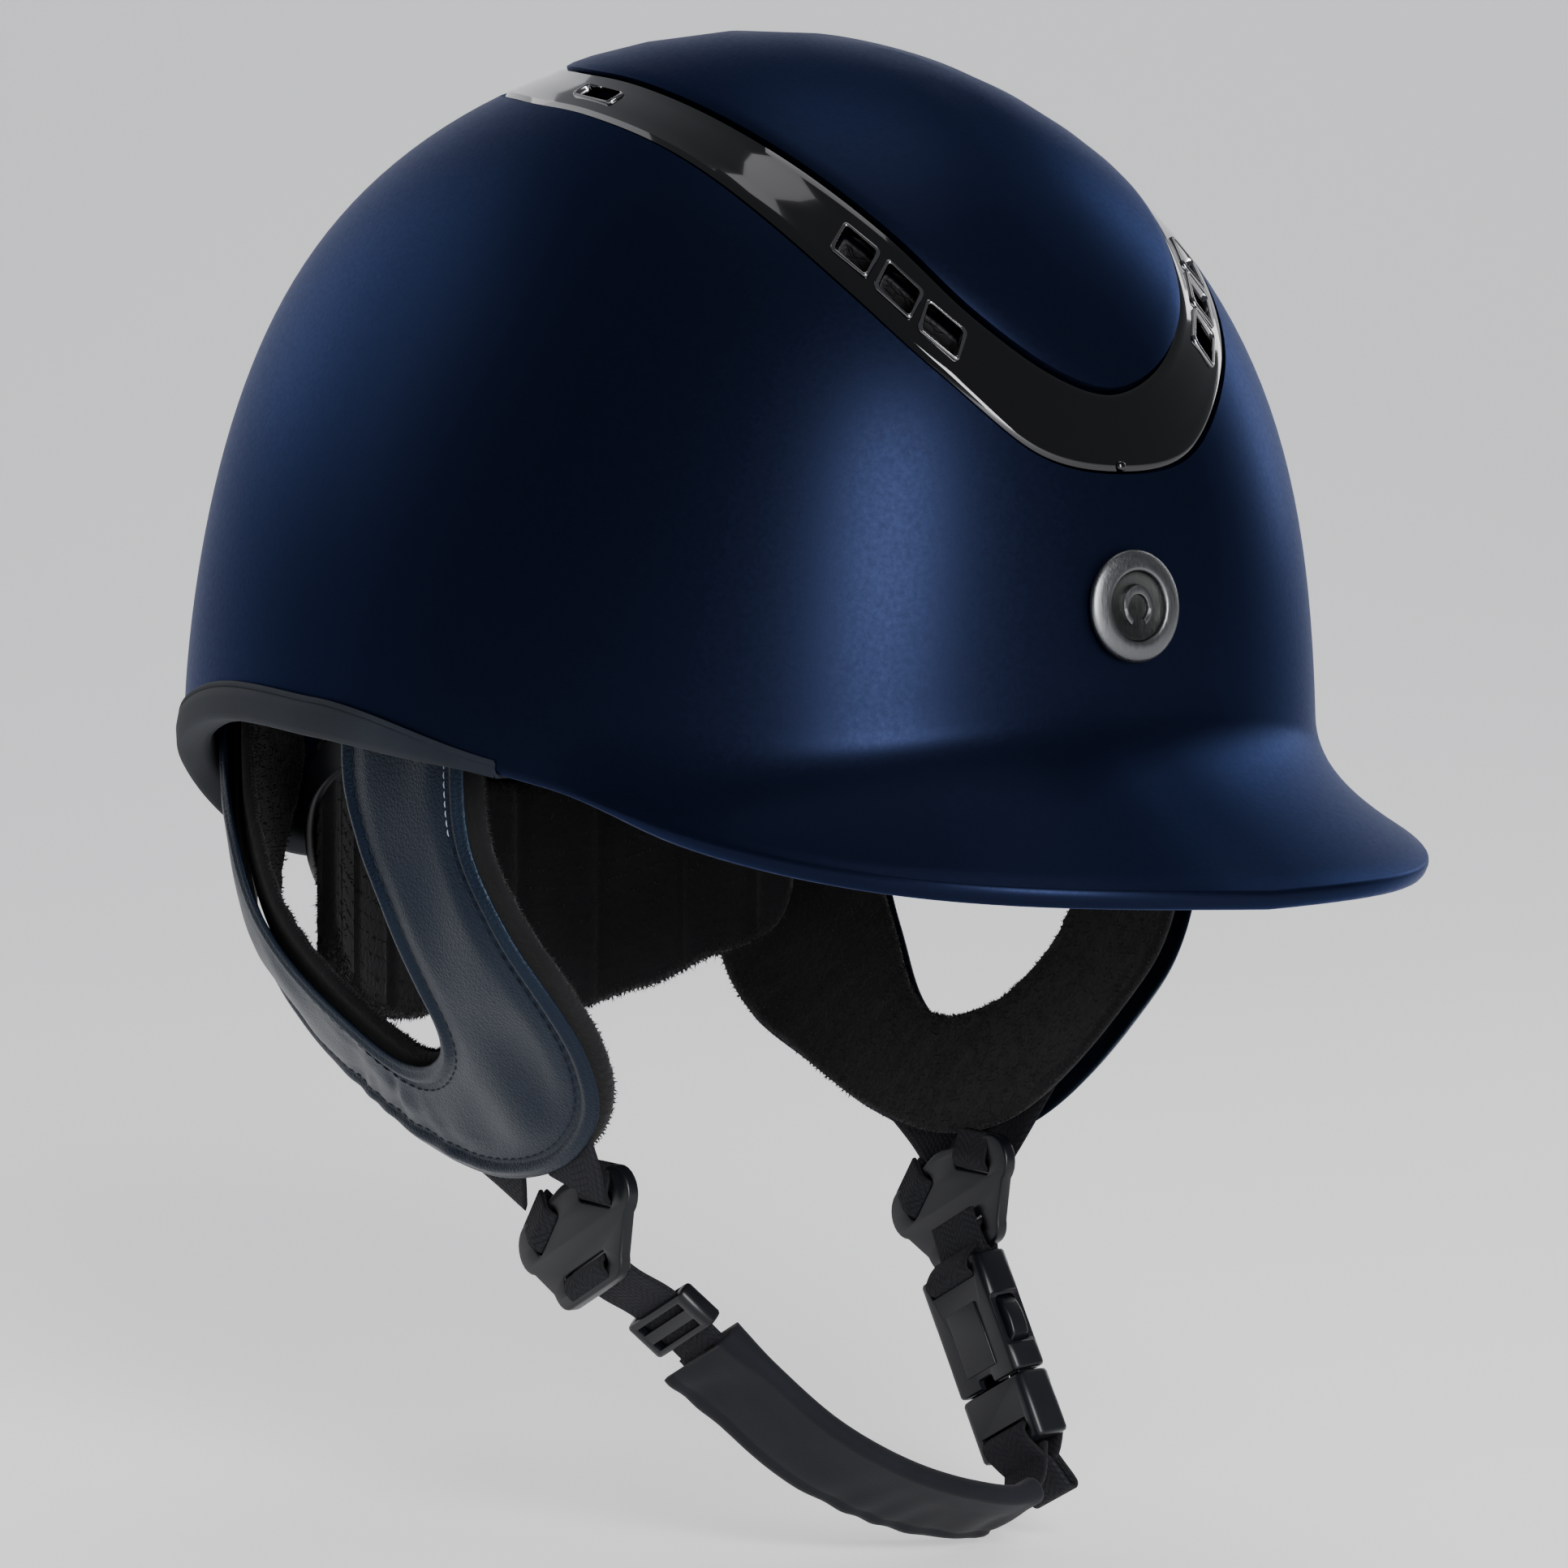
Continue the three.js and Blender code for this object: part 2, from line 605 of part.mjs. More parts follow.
const DIAL_GRIPS = 16;
function fitDial() {
  const shape = new THREE.Shape();
  const count = DIAL_GRIPS * 2;
  for (let i = 0; i < count; i++) {
    const turn = (i / count) * Math.PI * 2;
    const r = DIAL_RADIUS - (i % 2 ? 0.9 : 0);
    if (i === 0) shape.moveTo(r, 0);
    else shape.lineTo(r * Math.cos(turn), r * Math.sin(turn));
  }
  const bore = new THREE.Path();
  bore.absarc(0, 0, 4.3, 0, Math.PI * 2, true);
  shape.holes.push(bore);
  const bevel = 0.8;
  const knob = new THREE.ExtrudeGeometry(shape, {
    depth: DIAL_DEPTH - 2 * bevel,
    bevelEnabled: true,
    bevelSize: bevel,
    bevelThickness: bevel,
    bevelSegments: 1,
    curveSegments: 12,
  });
  return seat(knob.translate(0, 0, bevel), DIAL_CENTRE.clone().addScaledVector(dialOut, 3.4), dialOut);
}

// Guide on the liner that each cradle arm slides through.
function armGuide(way) {
  const block = box(9, 16, 20);
  const slot = box(4.2, 20, 12.6, 0, 0, -1);
  const foot = box(3, 16, 14, way * 5, 0, 12);
  return cut(join(block, foot), slot).translate(way * 75 - way * CRADLE_THICKNESS / 2, 8, 15);
}

// ---- Harness ------------------------------------------------------------------------------------
const HANG_WIDTH = [
  [-100, 52], [-82, 60], [-66, 69], [-53, 78], [-38, 89], [-24, 96], [-8, 99.2], [13, 100.2],
  [30, 99.8],
];
const HANG_REAR = [
  [-100, 86], [-80, 98], [-62, 112], [-54, 120], [-38, 127], [-26, 128], [-10, 128.4], [16, 128],
  [30, 127],
];
const HANG_FRONT_RATIO = 1.3;

// Sheet that the harness of one side lies in. u runs along Y and v is the height.
const harnessSheet = (way) => (y, z) => {
  const width = through(HANG_WIDTH, z);
  const length = y > 0 ? through(HANG_REAR, z) : width * HANG_FRONT_RATIO;
  const square = y > 0 ? REAR_SQUARENESS : FRONT_SQUARENESS;
  const x = width * (1 - Math.min(Math.abs(y) / length, 0.995) ** square) ** (1 / square);
  return vec(way * x, y, z);
};

function harnessOffset(way, y, z, distance) {
  const sheet = harnessSheet(way);
  const along = sheet(y + 0.5, z).sub(sheet(y - 0.5, z));
  const up = sheet(y, z + 0.5).sub(sheet(y, z - 0.5));
  const out = along.cross(up).normalize();
  if (out.x * way < 0) out.negate();
  return sheet(y, z).addScaledVector(out, distance);
}

// The two edges of the V-shaped cover, front leg first, as [y, z].
const COVER_OUTER = [
  [-41, 20], [-40, 4], [-41, -9], [-47, -26], [-50, -43], [-43, -62], [-26, -76], [0, -82], [28, -78], [52, -69],
  [78, -56], [98, -34], [112, -14], [117, 2], [116, 15],
];
const COVER_INNER = [
  [0, 20], [0, 4], [-4, -9], [-9.5, -24], [-8.5, -44], [-3, -53], [4, -57], [12, -59], [21, -58.5], [31, -54],
  [45, -43], [57, -30], [66, -13], [78, 2], [86, 15],
];
const flat = (list) => new THREE.CatmullRomCurve3(list.map(([y, z]) => vec(0, y, z)));
const coverOuter = flat(COVER_OUTER);
const coverInner = flat(COVER_INNER);
const COVER_STATIONS = 20;

// Place on the cover: s runs down the front leg and up the rear one, w from the outer edge to the inner edge.
function coverPlace(s, w) {
  return coverOuter.getPoint(s).lerp(coverInner.getPoint(s), w);
}

function harnessPanel(way, outside, inside, spread) {
  const across = steps(-spread, 1 + spread, 3);
  return sweep(
    steps(0, 1, COVER_STATIONS).map((s) => {
      const places = across.map((w) => coverPlace(s, w));
      return {
        outer: places.map((p) => harnessOffset(way, p.y, p.z, outside)),
        inner: places.map((p) => harnessOffset(way, p.y, p.z, inside)),
      };
    }),
  );
}

const WEB_HALF = WEBBING_THICKNESS / 2;
const COVER_IN = WEB_HALF + 2.5 * GAP;
const LINING_OUT = -WEB_HALF - 2 * GAP;

// Webbing strap along a list of [y, z] middle points in the harness sheet.
function legWebbing(way, line) {
  const curve = flat(line);
  return sweep(
    steps(0, 1, 12).map((s) => {
      const p = curve.getPoint(s);
      const run = curve.getTangent(s);
      const half = WEBBING_WIDTH / 2;
      const edges = [-1, 0, 1].map((k) => [p.y + run.z * half * k, p.z - run.y * half * k]);
      return {
        outer: edges.map(([y, z]) => harnessOffset(way, y, z, WEB_HALF)),
        inner: edges.map(([y, z]) => harnessOffset(way, y, z, -WEB_HALF)),
      };
    }),
  );
}
const FRONT_WEB = [[-20, 20], [-21, 0], [-27, -25], [-30, -45], [-27, -62], [-24, -76], [-21, -84]];
const REAR_WEB = [[101, 15], [97, 2], [88, -18], [72, -42], [50, -58], [24, -70], [6, -79], [-3, -84.5]];

function strapAnchor(way, [y, z]) {
  const out = harnessOffset(way, y, z, 1).sub(harnessOffset(way, y, z, 0));
  const plate = box(18, 9, 2.2);
  const rivet = new THREE.CylinderGeometry(2.6, 2.6, 5, 16).rotateX(Math.PI / 2).translate(0, 0, 1);
  return seat(join(plate, rivet), harnessOffset(way, y, z, 0), out);
}

// ---- Hanging hardware ---------------------------------------------------------------------------
// Everything below the covers lies in a plane that leans forward: x across, y along the strap's width, z up it.
const LEAN = 26.6;
const HANG_POINT = [0, -14, -95];
const hanging = new THREE.Group();
hanging.position.set(...HANG_POINT);
hanging.rotation.x = -radians(LEAN);
helmet.add(hanging);

const DIVIDER_X = 51.5;
const DIVIDER_THICKNESS = 3;

function dividerPlate() {
  const shape = new THREE.Shape();
  shape.moveTo(-9, -14);
  shape.lineTo(9, -14);
  shape.quadraticCurveTo(13, -14, 14, -9);
  shape.absarc(17, 3, 6, -1.2, 1.9, false);
  shape.lineTo(4, 11);
  shape.quadraticCurveTo(0, 12, -4, 11);
  shape.absarc(-17, 3, 6, 1.24, 4.34, false);
  shape.quadraticCurveTo(-13, -14, -9, -14);
  const slot = (x, y, angle, length, width) => {
    const c = Math.cos(radians(angle));
    const s = Math.sin(radians(angle));
    const corner = (a, b) => new THREE.Vector2(x + a * c - b * s, y + a * s + b * c);
    const [l, w] = [length / 2, width / 2];
    return new THREE.Path([corner(-l, -w), corner(-l, w), corner(l, w), corner(l, -w)]);
  };
  shape.holes.push(slot(-10.5, 4.5, 28, 12, 3), slot(10.5, 4.5, -28, 12, 3), slot(0, -8.5, 0, 17, 3.4));
  const flatPlate = { depth: DIVIDER_THICKNESS, bevelEnabled: false, curveSegments: 8 };
  const plate = new THREE.ExtrudeGeometry(shape, flatPlate);
  // Stand the plate up: its outline in the strap plane's y and z, its thickness along x.
  return plate.translate(0, 0, -DIVIDER_THICKNESS / 2).rotateX(Math.PI / 2).rotateZ(Math.PI / 2);
}

// Flat strap through [x, z] points in the leaning plane, its width along y.
function hangingStrap(line, width, thickness, count) {
  const curve = new THREE.CatmullRomCurve3(line.map(([x, z]) => vec(x, 0, z)));
  return sweep(
    steps(0, 1, count).map((s) => {
      const p = curve.getPoint(s);
      const run = curve.getTangent(s);
      const out = vec(run.z, 0, -run.x);
      const edge = (side, distance) => p.clone().addScaledVector(out, distance).add(vec(0, side * width / 2, 0));
      return {
        outer: [-1, 1].map((side) => edge(side, thickness / 2)),
        inner: [-1, 1].map((side) => edge(side, -thickness / 2)),
      };
    }),
  );
}

const BUCKLE = [47.5, -16];
const BUCKLE_TILT = 4;
const BUCKLE_WIDTH = 23;
const BUCKLE_LENGTH = 28;
const BUCKLE_DEPTH = 9;
const BUCKLE_WALL = 1.6;

const buckle = new THREE.Group();
buckle.position.set(BUCKLE[0], 0, BUCKLE[1]);
buckle.rotation.y = -radians(BUCKLE_TILT);
hanging.add(buckle);

// Female half: a sleeve open below, with a window each side for the prongs and a bar slot above.
function buckleSocket() {
  const body = box(BUCKLE_DEPTH, BUCKLE_WIDTH, BUCKLE_LENGTH, 0, 0, -BUCKLE_LENGTH / 2);
  const hollow = box(
    BUCKLE_DEPTH - 2 * BUCKLE_WALL, BUCKLE_WIDTH - 2 * BUCKLE_WALL, BUCKLE_LENGTH - 7, 0, 0, -BUCKLE_LENGTH / 2 - 3.6,
  );
  const windows = box(BUCKLE_DEPTH - 2 * BUCKLE_WALL, BUCKLE_WIDTH + 4, 11, 0, 0, -16);
  const barSlot = box(BUCKLE_DEPTH + 4, 17, 2.4, 0, 0, -3.4);
  return cut(body, hollow, windows, barSlot);
}

const PRONG_ROOT = -BUCKLE_LENGTH - 0.6;
// One prong: a springy arm with a rounded shoulder that fills the side window.
function pronged(way) {
  const shape = new THREE.Shape();
  shape.moveTo(5.2, 0);
  shape.lineTo(9, 0);
  shape.lineTo(9.4, 6.4);
  shape.lineTo(11.9, 8);
  shape.quadraticCurveTo(13, 12, 11.6, 16);
  shape.lineTo(8.4, 18.6);
  shape.lineTo(7, 18);
  shape.lineTo(7.4, 9);
  shape.lineTo(5.2, 0);
  const arm = new THREE.ExtrudeGeometry(shape, { depth: 4.6, bevelEnabled: false, curveSegments: 6 });
  arm.translate(0, 0, -2.3).rotateX(Math.PI / 2).rotateZ(Math.PI / 2);
  if (way < 0) arm.rotateZ(Math.PI);
  return arm.translate(0, 0, PRONG_ROOT + 0.4);
}

// Male half's base below the socket's mouth, with a bar slot for the webbing.
const BASE_LENGTH = 15;
function buckleBase() {
  const block = box(BUCKLE_DEPTH, BUCKLE_WIDTH, BASE_LENGTH, 0, 0, PRONG_ROOT - BASE_LENGTH / 2);
  const slot = box(BUCKLE_DEPTH + 4, 17, 3, 0, 0, PRONG_ROOT - BASE_LENGTH + 4);
  return cut(block, slot);
}

// ---- Chin strap ---------------------------------------------------------------------------------
const CHIN_LINE = [
  [-48.7, -8.6], [-45, -12], [-38, -17], [-31, -25], [-21, -38], [-8, -52.5], [8, -63.5], [24, -70], [37, -72.3],
  [46, -69], [50.4, -60.4],
];
const chinCurve = new THREE.CatmullRomCurve3(CHIN_LINE.map(([x, z]) => vec(x, 0, z)));
const COVER_WIDTH = 26;
const COVER_SPAN = [0.33, 0.84];

function chinFrame(s) {
  const p = chinCurve.getPoint(s);
  const run = chinCurve.getTangent(s);
  const out = vec(run.z, 0, -run.x);
  return (distance, side) => p.clone().addScaledVector(out, distance).add(vec(0, side, 0));
}

// Soft sleeve folded round the front edge of the chin webbing and open along the back.
function chinCover() {
  const half = COVER_WIDTH / 2;
  return sweep(
    steps(COVER_SPAN[0], COVER_SPAN[1], 16).map((s) => {
      const at = chinFrame(s);
      const path = (thick, fold) => [
        at(thick, half), at(thick, 0), at(thick, fold + 2.5), at(thick * 0.5, fold),
        at(-thick * 0.5, fold), at(-thick, fold + 2.5), at(-thick, 0), at(-thick, half),
      ];
      return { outer: path(2.6, -half), inner: path(WEB_HALF + GAP + 0.1, -half + 1.6) };
    }),
  );
}

function alongChin(geometry, s) {
  const p = chinCurve.getPoint(s);
  const run = chinCurve.getTangent(s);
  const across = vec(0, 1, 0);
  const out = across.clone().cross(run);
  return geometry.applyMatrix4(new THREE.Matrix4().makeBasis(out, across, run).setPosition(p));
}

const ADJUSTER_AT = 0.26;
const strapAdjuster = () => alongChin(cut(box(4.8, 23, 10), box(2.8, 17.4, 14)), ADJUSTER_AT);
const strapEnd = () => box(3.4, 15, 8).rotateY(-radians(25)).translate(53.4, 0, -67.5);

// ---- Assembly -----------------------------------------------------------------------------------
addPart("outer_shell", outerShell(), "shell");
addPart("crown_panel", crownPanel(), "shell");
addPart("vent_trim", ventTrim(), "trim");
addPart("badge_bezel", badgeBezel(), "badge");
addPart("badge_disc", badgeDisc(), "badge");
addPart("rim_edging", rimEdging(), "edging");
addPart("peak_lining", peakLining(), "textile");
addPart("impact_liner", cut(dome(linerLow, LINER_OUT, LINER_IN), ...ventTools()), "foam");
addPart("comfort_liner", dome(() => COMFORT_LOW, COMFORT_OUT, COMFORT_OUT - COMFORT_THICKNESS, 2), "textile");
addPart("brow_pad", bodyPanel(-50, 50, 12, 4, 40, 3, LINER_IN - 0.6, LINER_IN - 0.6 - PAD_THICKNESS), "textile");
addPart("crown_pad", bodyPanel(-90, 90, 14, 128, 152, 3, PAD_OUT, PAD_OUT - PAD_THICKNESS), "textile");

for (const [side, way] of SIDES) {
  const [from, to] = way > 0 ? [58, 122] : [238, 302];
  addPart(`side_pad_${side}`, bodyPanel(from, to, 8, 54, 96, 3, PAD_OUT, PAD_OUT - PAD_THICKNESS), "textile");
  addPart(`arm_guide_${side}`, armGuide(way), "plastic");
  const coverOut = COVER_IN + COVER_THICKNESS;
  addPart(`harness_cover_${side}`, harnessPanel(way, coverOut, COVER_IN, 0), "leather");
  addPart(`harness_lining_${side}`, harnessPanel(way, LINING_OUT, LINING_OUT - LINING_THICKNESS, 0.03), "textile");
  addPart(`webbing_front_${side}`, legWebbing(way, FRONT_WEB), "webbing");
  addPart(`webbing_rear_${side}`, legWebbing(way, REAR_WEB), "webbing");
  addPart(`strap_anchor_front_${side}`, strapAnchor(way, [-20, 25.5]), "plastic");
  addPart(`strap_anchor_rear_${side}`, strapAnchor(way, [103, 22]), "plastic");
  const divider = addPart(`divider_${side}`, dividerPlate(), "plastic", hanging);
  divider.position.x = way * DIVIDER_X;
}
const LOWER_LINE = [[48.8, -4.5], [48.8, -10], [48.8, -15.4]];
const lowerWebbing = hangingStrap(LOWER_LINE, WEBBING_WIDTH, WEBBING_THICKNESS, 4);
addPart("lower_webbing_left", lowerWebbing, "webbing", hanging);
addPart("chin_webbing", hangingStrap(CHIN_LINE, WEBBING_WIDTH, WEBBING_THICKNESS, 30), "webbing", hanging);
addPart("chin_cover", chinCover(), "leather", hanging);
addPart("strap_adjuster", strapAdjuster(), "plastic", hanging);
addPart("strap_end", strapEnd(), "webbing", hanging);
addPart("buckle_socket", buckleSocket(), "plastic", buckle);
addPart("buckle_base", buckleBase(), "plastic", buckle);
addPart("buckle_prong_rear", pronged(1), "plastic", buckle);
addPart("buckle_prong_front", pronged(-1), "plastic", buckle);
addPart("nape_cradle", cradleBand(), "plastic");
addPart("nape_pad", napePad(), "textile");
addPart("dial_housing", dialHousing(), "plastic");
addPart("fit_dial", fitDial(), "plastic");

export default helmet;
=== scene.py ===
"""Equestrian riding helmet: the looks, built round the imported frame.

Lengths are millimetres until mesh_object().
"""
import math

import bpy
import bmesh
import numpy as np
from mathutils import Matrix, Vector


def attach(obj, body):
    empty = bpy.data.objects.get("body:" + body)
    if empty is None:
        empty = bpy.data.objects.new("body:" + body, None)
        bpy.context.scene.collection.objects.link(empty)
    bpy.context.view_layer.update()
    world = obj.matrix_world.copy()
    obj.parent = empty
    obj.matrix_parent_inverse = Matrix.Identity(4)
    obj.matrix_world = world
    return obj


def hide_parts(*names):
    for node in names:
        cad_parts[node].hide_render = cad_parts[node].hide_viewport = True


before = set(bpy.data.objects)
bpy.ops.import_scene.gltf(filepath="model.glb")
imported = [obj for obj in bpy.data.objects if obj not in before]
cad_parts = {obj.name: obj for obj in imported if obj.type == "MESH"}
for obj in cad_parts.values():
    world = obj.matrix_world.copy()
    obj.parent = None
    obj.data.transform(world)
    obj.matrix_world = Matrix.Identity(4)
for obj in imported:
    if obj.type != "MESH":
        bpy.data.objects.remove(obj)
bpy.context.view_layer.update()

MM = 0.001
scene = bpy.context.scene

# ---- Driving dimensions, as in the CAD source ---
HALF_WIDTH, FRONT_LENGTH, REAR_LENGTH, CROWN_HEIGHT = 110.7, 135.6, 142.2, 165.5
FRONT_SQUARE, REAR_SQUARE = 2.313, 2.173
FRONT_SWELL = (0.508, -0.5685, 0.3872)
REAR_SWELL = (0.175, 0.5094, -0.2387)
SIDE_SWELL = (0.0994, 0.0524, -0.1527)
SHELL_THICKNESS = 4.4
PEAK_REACH, PEAK_HALF_ANGLE, PEAK_DROOP = 43.4, 62.0, 0.48
FLARE_RISE, NAPE_TUCK, LIP_ROUNDING = 14.0, 6.0, 1.2
EDGE_HEIGHT = [(0, -14), (24, -11), (44, -3.5), (64, 6.5), (84, 14), (103, 18.3), (118, 14.5), (133, 5),
               (158, -16), (180, -21)]
RIM_HEIGHT, RIM_SKIN, RIM_START = 6.5, 1.3, 67.5
TRIM_DEPTH, CROWN_RISE, GAP = 2.2, 0.9, 0.4
BOARD_TILT = math.radians(50)
OUTER_OUTLINE = [(0, -57.5), (20, -53.5), (38, -34.8), (48, -14.5), (54.2, 11), (56.3, 45), (54, 78),
                 (46, 110), (29, 136), (0, 148)]
INNER_OUTLINE = [(0, -44), (14, -39.5), (27.5, -26), (36.5, -5), (42.5, 18), (45.5, 46), (43.5, 77),
                 (36, 107), (22, 129), (0, 139)]
VENT_TURNS = (0.118, 0.148, 0.178)
VENT_LENGTH, VENT_WIDTH, VENT_SLANT = 9.5, 6.2, 24
REAR_SLOT_TURN, REAR_SLOT_LENGTH, REAR_SLOT_WIDTH = 0.345, 17, 4
BADGE_RADIUS, BADGE_HEIGHT = 11.5, 41
WEBBING_WIDTH, WEBBING_THICKNESS = 16, 1.2
COVER_IN, COVER_THICKNESS = 1.6, 1.4
LINING_OUT, LINING_THICKNESS = -1.4, 3.0


# ---- Curves and surfaces ---
def through(knots, x):
    """Smooth value at x through given (x, value) knots, as in the CAD source."""
    x = np.asarray(x, float)
    kx = np.array([k[0] for k in knots], float)
    ky = np.array([k[1] for k in knots], float)
    slope = np.empty(len(kx))
    slope[1:-1] = (ky[2:] - ky[:-2]) / (kx[2:] - kx[:-2])
    slope[0] = (ky[1] - ky[0]) / (kx[1] - kx[0])
    slope[-1] = (ky[-1] - ky[-2]) / (kx[-1] - kx[-2])
    i = np.clip(np.searchsorted(kx, x, side="left") - 1, 0, len(kx) - 2)
    span = kx[i + 1] - kx[i]
    t = np.clip((x - kx[i]) / span, 0, 1)
    h = t * t * (3 - 2 * t)
    rise = (t ** 3 - 2 * t * t + t) * span * slope[i] + (t ** 3 - t * t) * span * slope[i + 1]
    return ky[i] + (ky[i + 1] - ky[i]) * h + rise


def smooth(x, low, high):
    t = np.clip((np.asarray(x, float) - low) / (high - low), 0, 1)
    return t * t * (3 - 2 * t)


def swell(c, t):
    return 1 + c[0] * t ** 2 + c[1] * t ** 4 + c[2] * t ** 6


def body(angle, height):
    """Egg-shaped body of the shell: angle in degrees from the front towards +X, height is z."""
    angle, height = np.broadcast_arrays(np.asarray(angle, float), np.asarray(height, float))
    t = np.clip(height / CROWN_HEIGHT, -1, 1)
    fade = np.sqrt(1 - t * t)
    c, s = np.cos(np.radians(angle)), np.sin(np.radians(angle))
    front = c > 0
    square = 2 + (np.where(front, FRONT_SQUARE, REAR_SQUARE) - 2) * (1 - t ** 4)
    length = np.where(front, FRONT_LENGTH * swell(FRONT_SWELL, t), REAR_LENGTH * swell(REAR_SWELL, t))

    def rounded(v):
        return np.sign(v) * np.abs(v) ** (2 / square)

    return np.stack([rounded(s) * HALF_WIDTH * swell(SIDE_SWELL, t) * fade, -rounded(c) * length * fade,
                     height + 0 * angle], -1)


def turn_of(angle):
    return np.abs((np.asarray(angle, float) + 540) % 360 - 180)


def edge_reach(angle):
    turn = turn_of(angle)
    peak = PEAK_REACH * np.cos(np.radians(90 * np.minimum(turn, PEAK_HALF_ANGLE) / PEAK_HALF_ANGLE)) ** 1.6
    return np.where(turn < PEAK_HALF_ANGLE, peak, -NAPE_TUCK * smooth(turn, 120, 175))


def outward(angle, height):
    d = body(angle + 0.5, height) - body(angle - 0.5, height)
    n = np.stack([d[..., 1], -d[..., 0], 0 * d[..., 0]], -1)
    return n / np.linalg.norm(n, axis=-1, keepdims=True)


def flare_top(angle):
    reach = edge_reach(angle)
    bend = through(EDGE_HEIGHT, turn_of(angle)) + np.hypot(PEAK_DROOP * np.maximum(reach, 0), FLARE_RISE / 2)
    return bend, bend + 0.8 * FLARE_RISE


def shell(angle, level):
    """Outer surface: level 0 at the lower edge, 1 where the flare ends, 2 at the crown."""
    angle, level = np.broadcast_arrays(np.asarray(angle, float), np.asarray(level, float))
    low = through(EDGE_HEIGHT, turn_of(angle))
    bend, top = flare_top(angle)
    t = np.minimum(level, 1)
    height = (1 - t) ** 2 * low + 2 * t * (1 - t) * bend + t * t * top
    flared = body(angle, height) + outward(angle, height) * (edge_reach(angle) * (1 - t) ** 2)[..., None]
    start = np.arcsin(top / CROWN_HEIGHT)
    dome = body(angle, CROWN_HEIGHT * np.sin(start + (np.pi / 2 - start) * (np.maximum(level, 1) - 1)))
    return np.where((level <= 1)[..., None], flared, dome)


def unit(v):
    return v / np.maximum(np.linalg.norm(v, axis=-1, keepdims=True), 1e-12)


def offset(surface, u, v, distance, du=0.5, dv=0.01):
    """Points at a distance out of a surface, along its normal."""
    u, v = np.broadcast_arrays(np.asarray(u, float), np.asarray(v, float))
    along = surface(u + du, v) - surface(u - du, v)
    up = surface(u, v + dv) - surface(u, v - dv)
    return surface(u, v) + unit(np.cross(along, up)) * np.asarray(distance, float)[..., None]


def catmull(points, t, closed=False):
    """Centripetal curve through points, t from 0 to 1, the same curve that the CAD source uses."""
    p = np.asarray(points, float)
    n = len(p)
    t = np.asarray(t, float)
    if closed:
        x = (t % 1) * n
        i = np.floor(x).astype(int)
        w = x - i
        pick = [p[(i + k) % n] for k in (-1, 0, 1, 2)]
    else:
        x = np.clip(t, 0, 1) * (n - 1)
        i = np.minimum(np.floor(x).astype(int), n - 2)
        w = x - i
        padded = np.vstack([2 * p[0] - p[1], p, 2 * p[-1] - p[-2]])
        pick = [padded[i + k] for k in (0, 1, 2, 3)]
    p0, p1, p2, p3 = pick
    d0, d1, d2 = (np.maximum(np.linalg.norm(b - a, axis=-1), 1e-4)[..., None] ** 0.5
                  for a, b in ((p0, p1), (p1, p2), (p2, p3)))
    m1 = ((p1 - p0) / d0 - (p2 - p0) / (d0 + d1) + (p2 - p1) / d1) * d1
    m2 = ((p2 - p1) / d1 - (p3 - p1) / (d1 + d2) + (p3 - p2) / d2) * d1
    w = w[..., None]
    h = w * w * (3 - 2 * w)
    return p1 + (p2 - p1) * h + (w ** 3 - 2 * w * w + w) * m1 + (w ** 3 - w * w) * m2


def mirrored(outline):
    return list(outline) + [(-a, b) for a, b in reversed(outline[1:-1])]


BOARD_UP = np.array([0, math.sin(BOARD_TILT), math.cos(BOARD_TILT)])
BOARD_OUT = np.array([0, -math.cos(BOARD_TILT), math.sin(BOARD_TILT)])


def body_angle(direction, height):
    """Body angle whose point lies in a given plan direction."""
    angle = np.array(direction, float)
    for _ in range(8):
        p = body(angle, height)
        miss = direction - np.degrees(np.arctan2(p[..., 0], -p[..., 1]))
        angle = angle + (miss + 540) % 360 - 180
    return angle


def under_board(across, up):
    """Point of the body under a board position."""
    across, up = np.broadcast_arrays(np.asarray(across, float), np.asarray(up, float))
    near, far = np.full(across.shape, -60.0), np.full(across.shape, 260.0)
    flat = np.stack([across, 0 * across, 0 * across], -1) + up[..., None] * BOARD_UP
    for _ in range(30):
        middle = (near + far) / 2
        p = flat + middle[..., None] * BOARD_OUT
        height = np.minimum(p[..., 2], CROWN_HEIGHT)
        rim = body(body_angle(np.degrees(np.arctan2(p[..., 0], -p[..., 1])), height), height)
        inside = (p[..., 2] < CROWN_HEIGHT) & (np.hypot(p[..., 0], p[..., 1]) < np.hypot(rim[..., 0],
                                                                                         rim[..., 1]))
        near, far = np.where(inside, middle, near), np.where(inside, far, middle)
    return flat + near[..., None] * BOARD_OUT


def loop_board(turn, share, sideways=0.0):
    """Board position round the vent loop: share 1 inner outline, 2 outer outline, moved sideways off it."""
    def at(s):
        inner, outer = catmull(mirrored(INNER_OUTLINE), s, True), catmull(mirrored(OUTER_OUTLINE), s, True)
        return inner + (outer - inner) * (np.asarray(share, float)[..., None] - 1)
    run = unit(at(np.asarray(turn) + 0.002) - at(np.asarray(turn) - 0.002))
    return at(np.asarray(turn)) + np.stack([run[..., 1], -run[..., 0]], -1) * np.asarray(sideways)[..., None]


def loop_point(board, distance):
    reach = 0.6
    x, y = board[..., 0], board[..., 1]
    right = under_board(x + reach, y) - under_board(x - reach, y)
    up = under_board(x, y + reach) - under_board(x, y - reach)
    return under_board(x, y) + unit(np.cross(right, up)) * np.asarray(distance, float)[..., None]


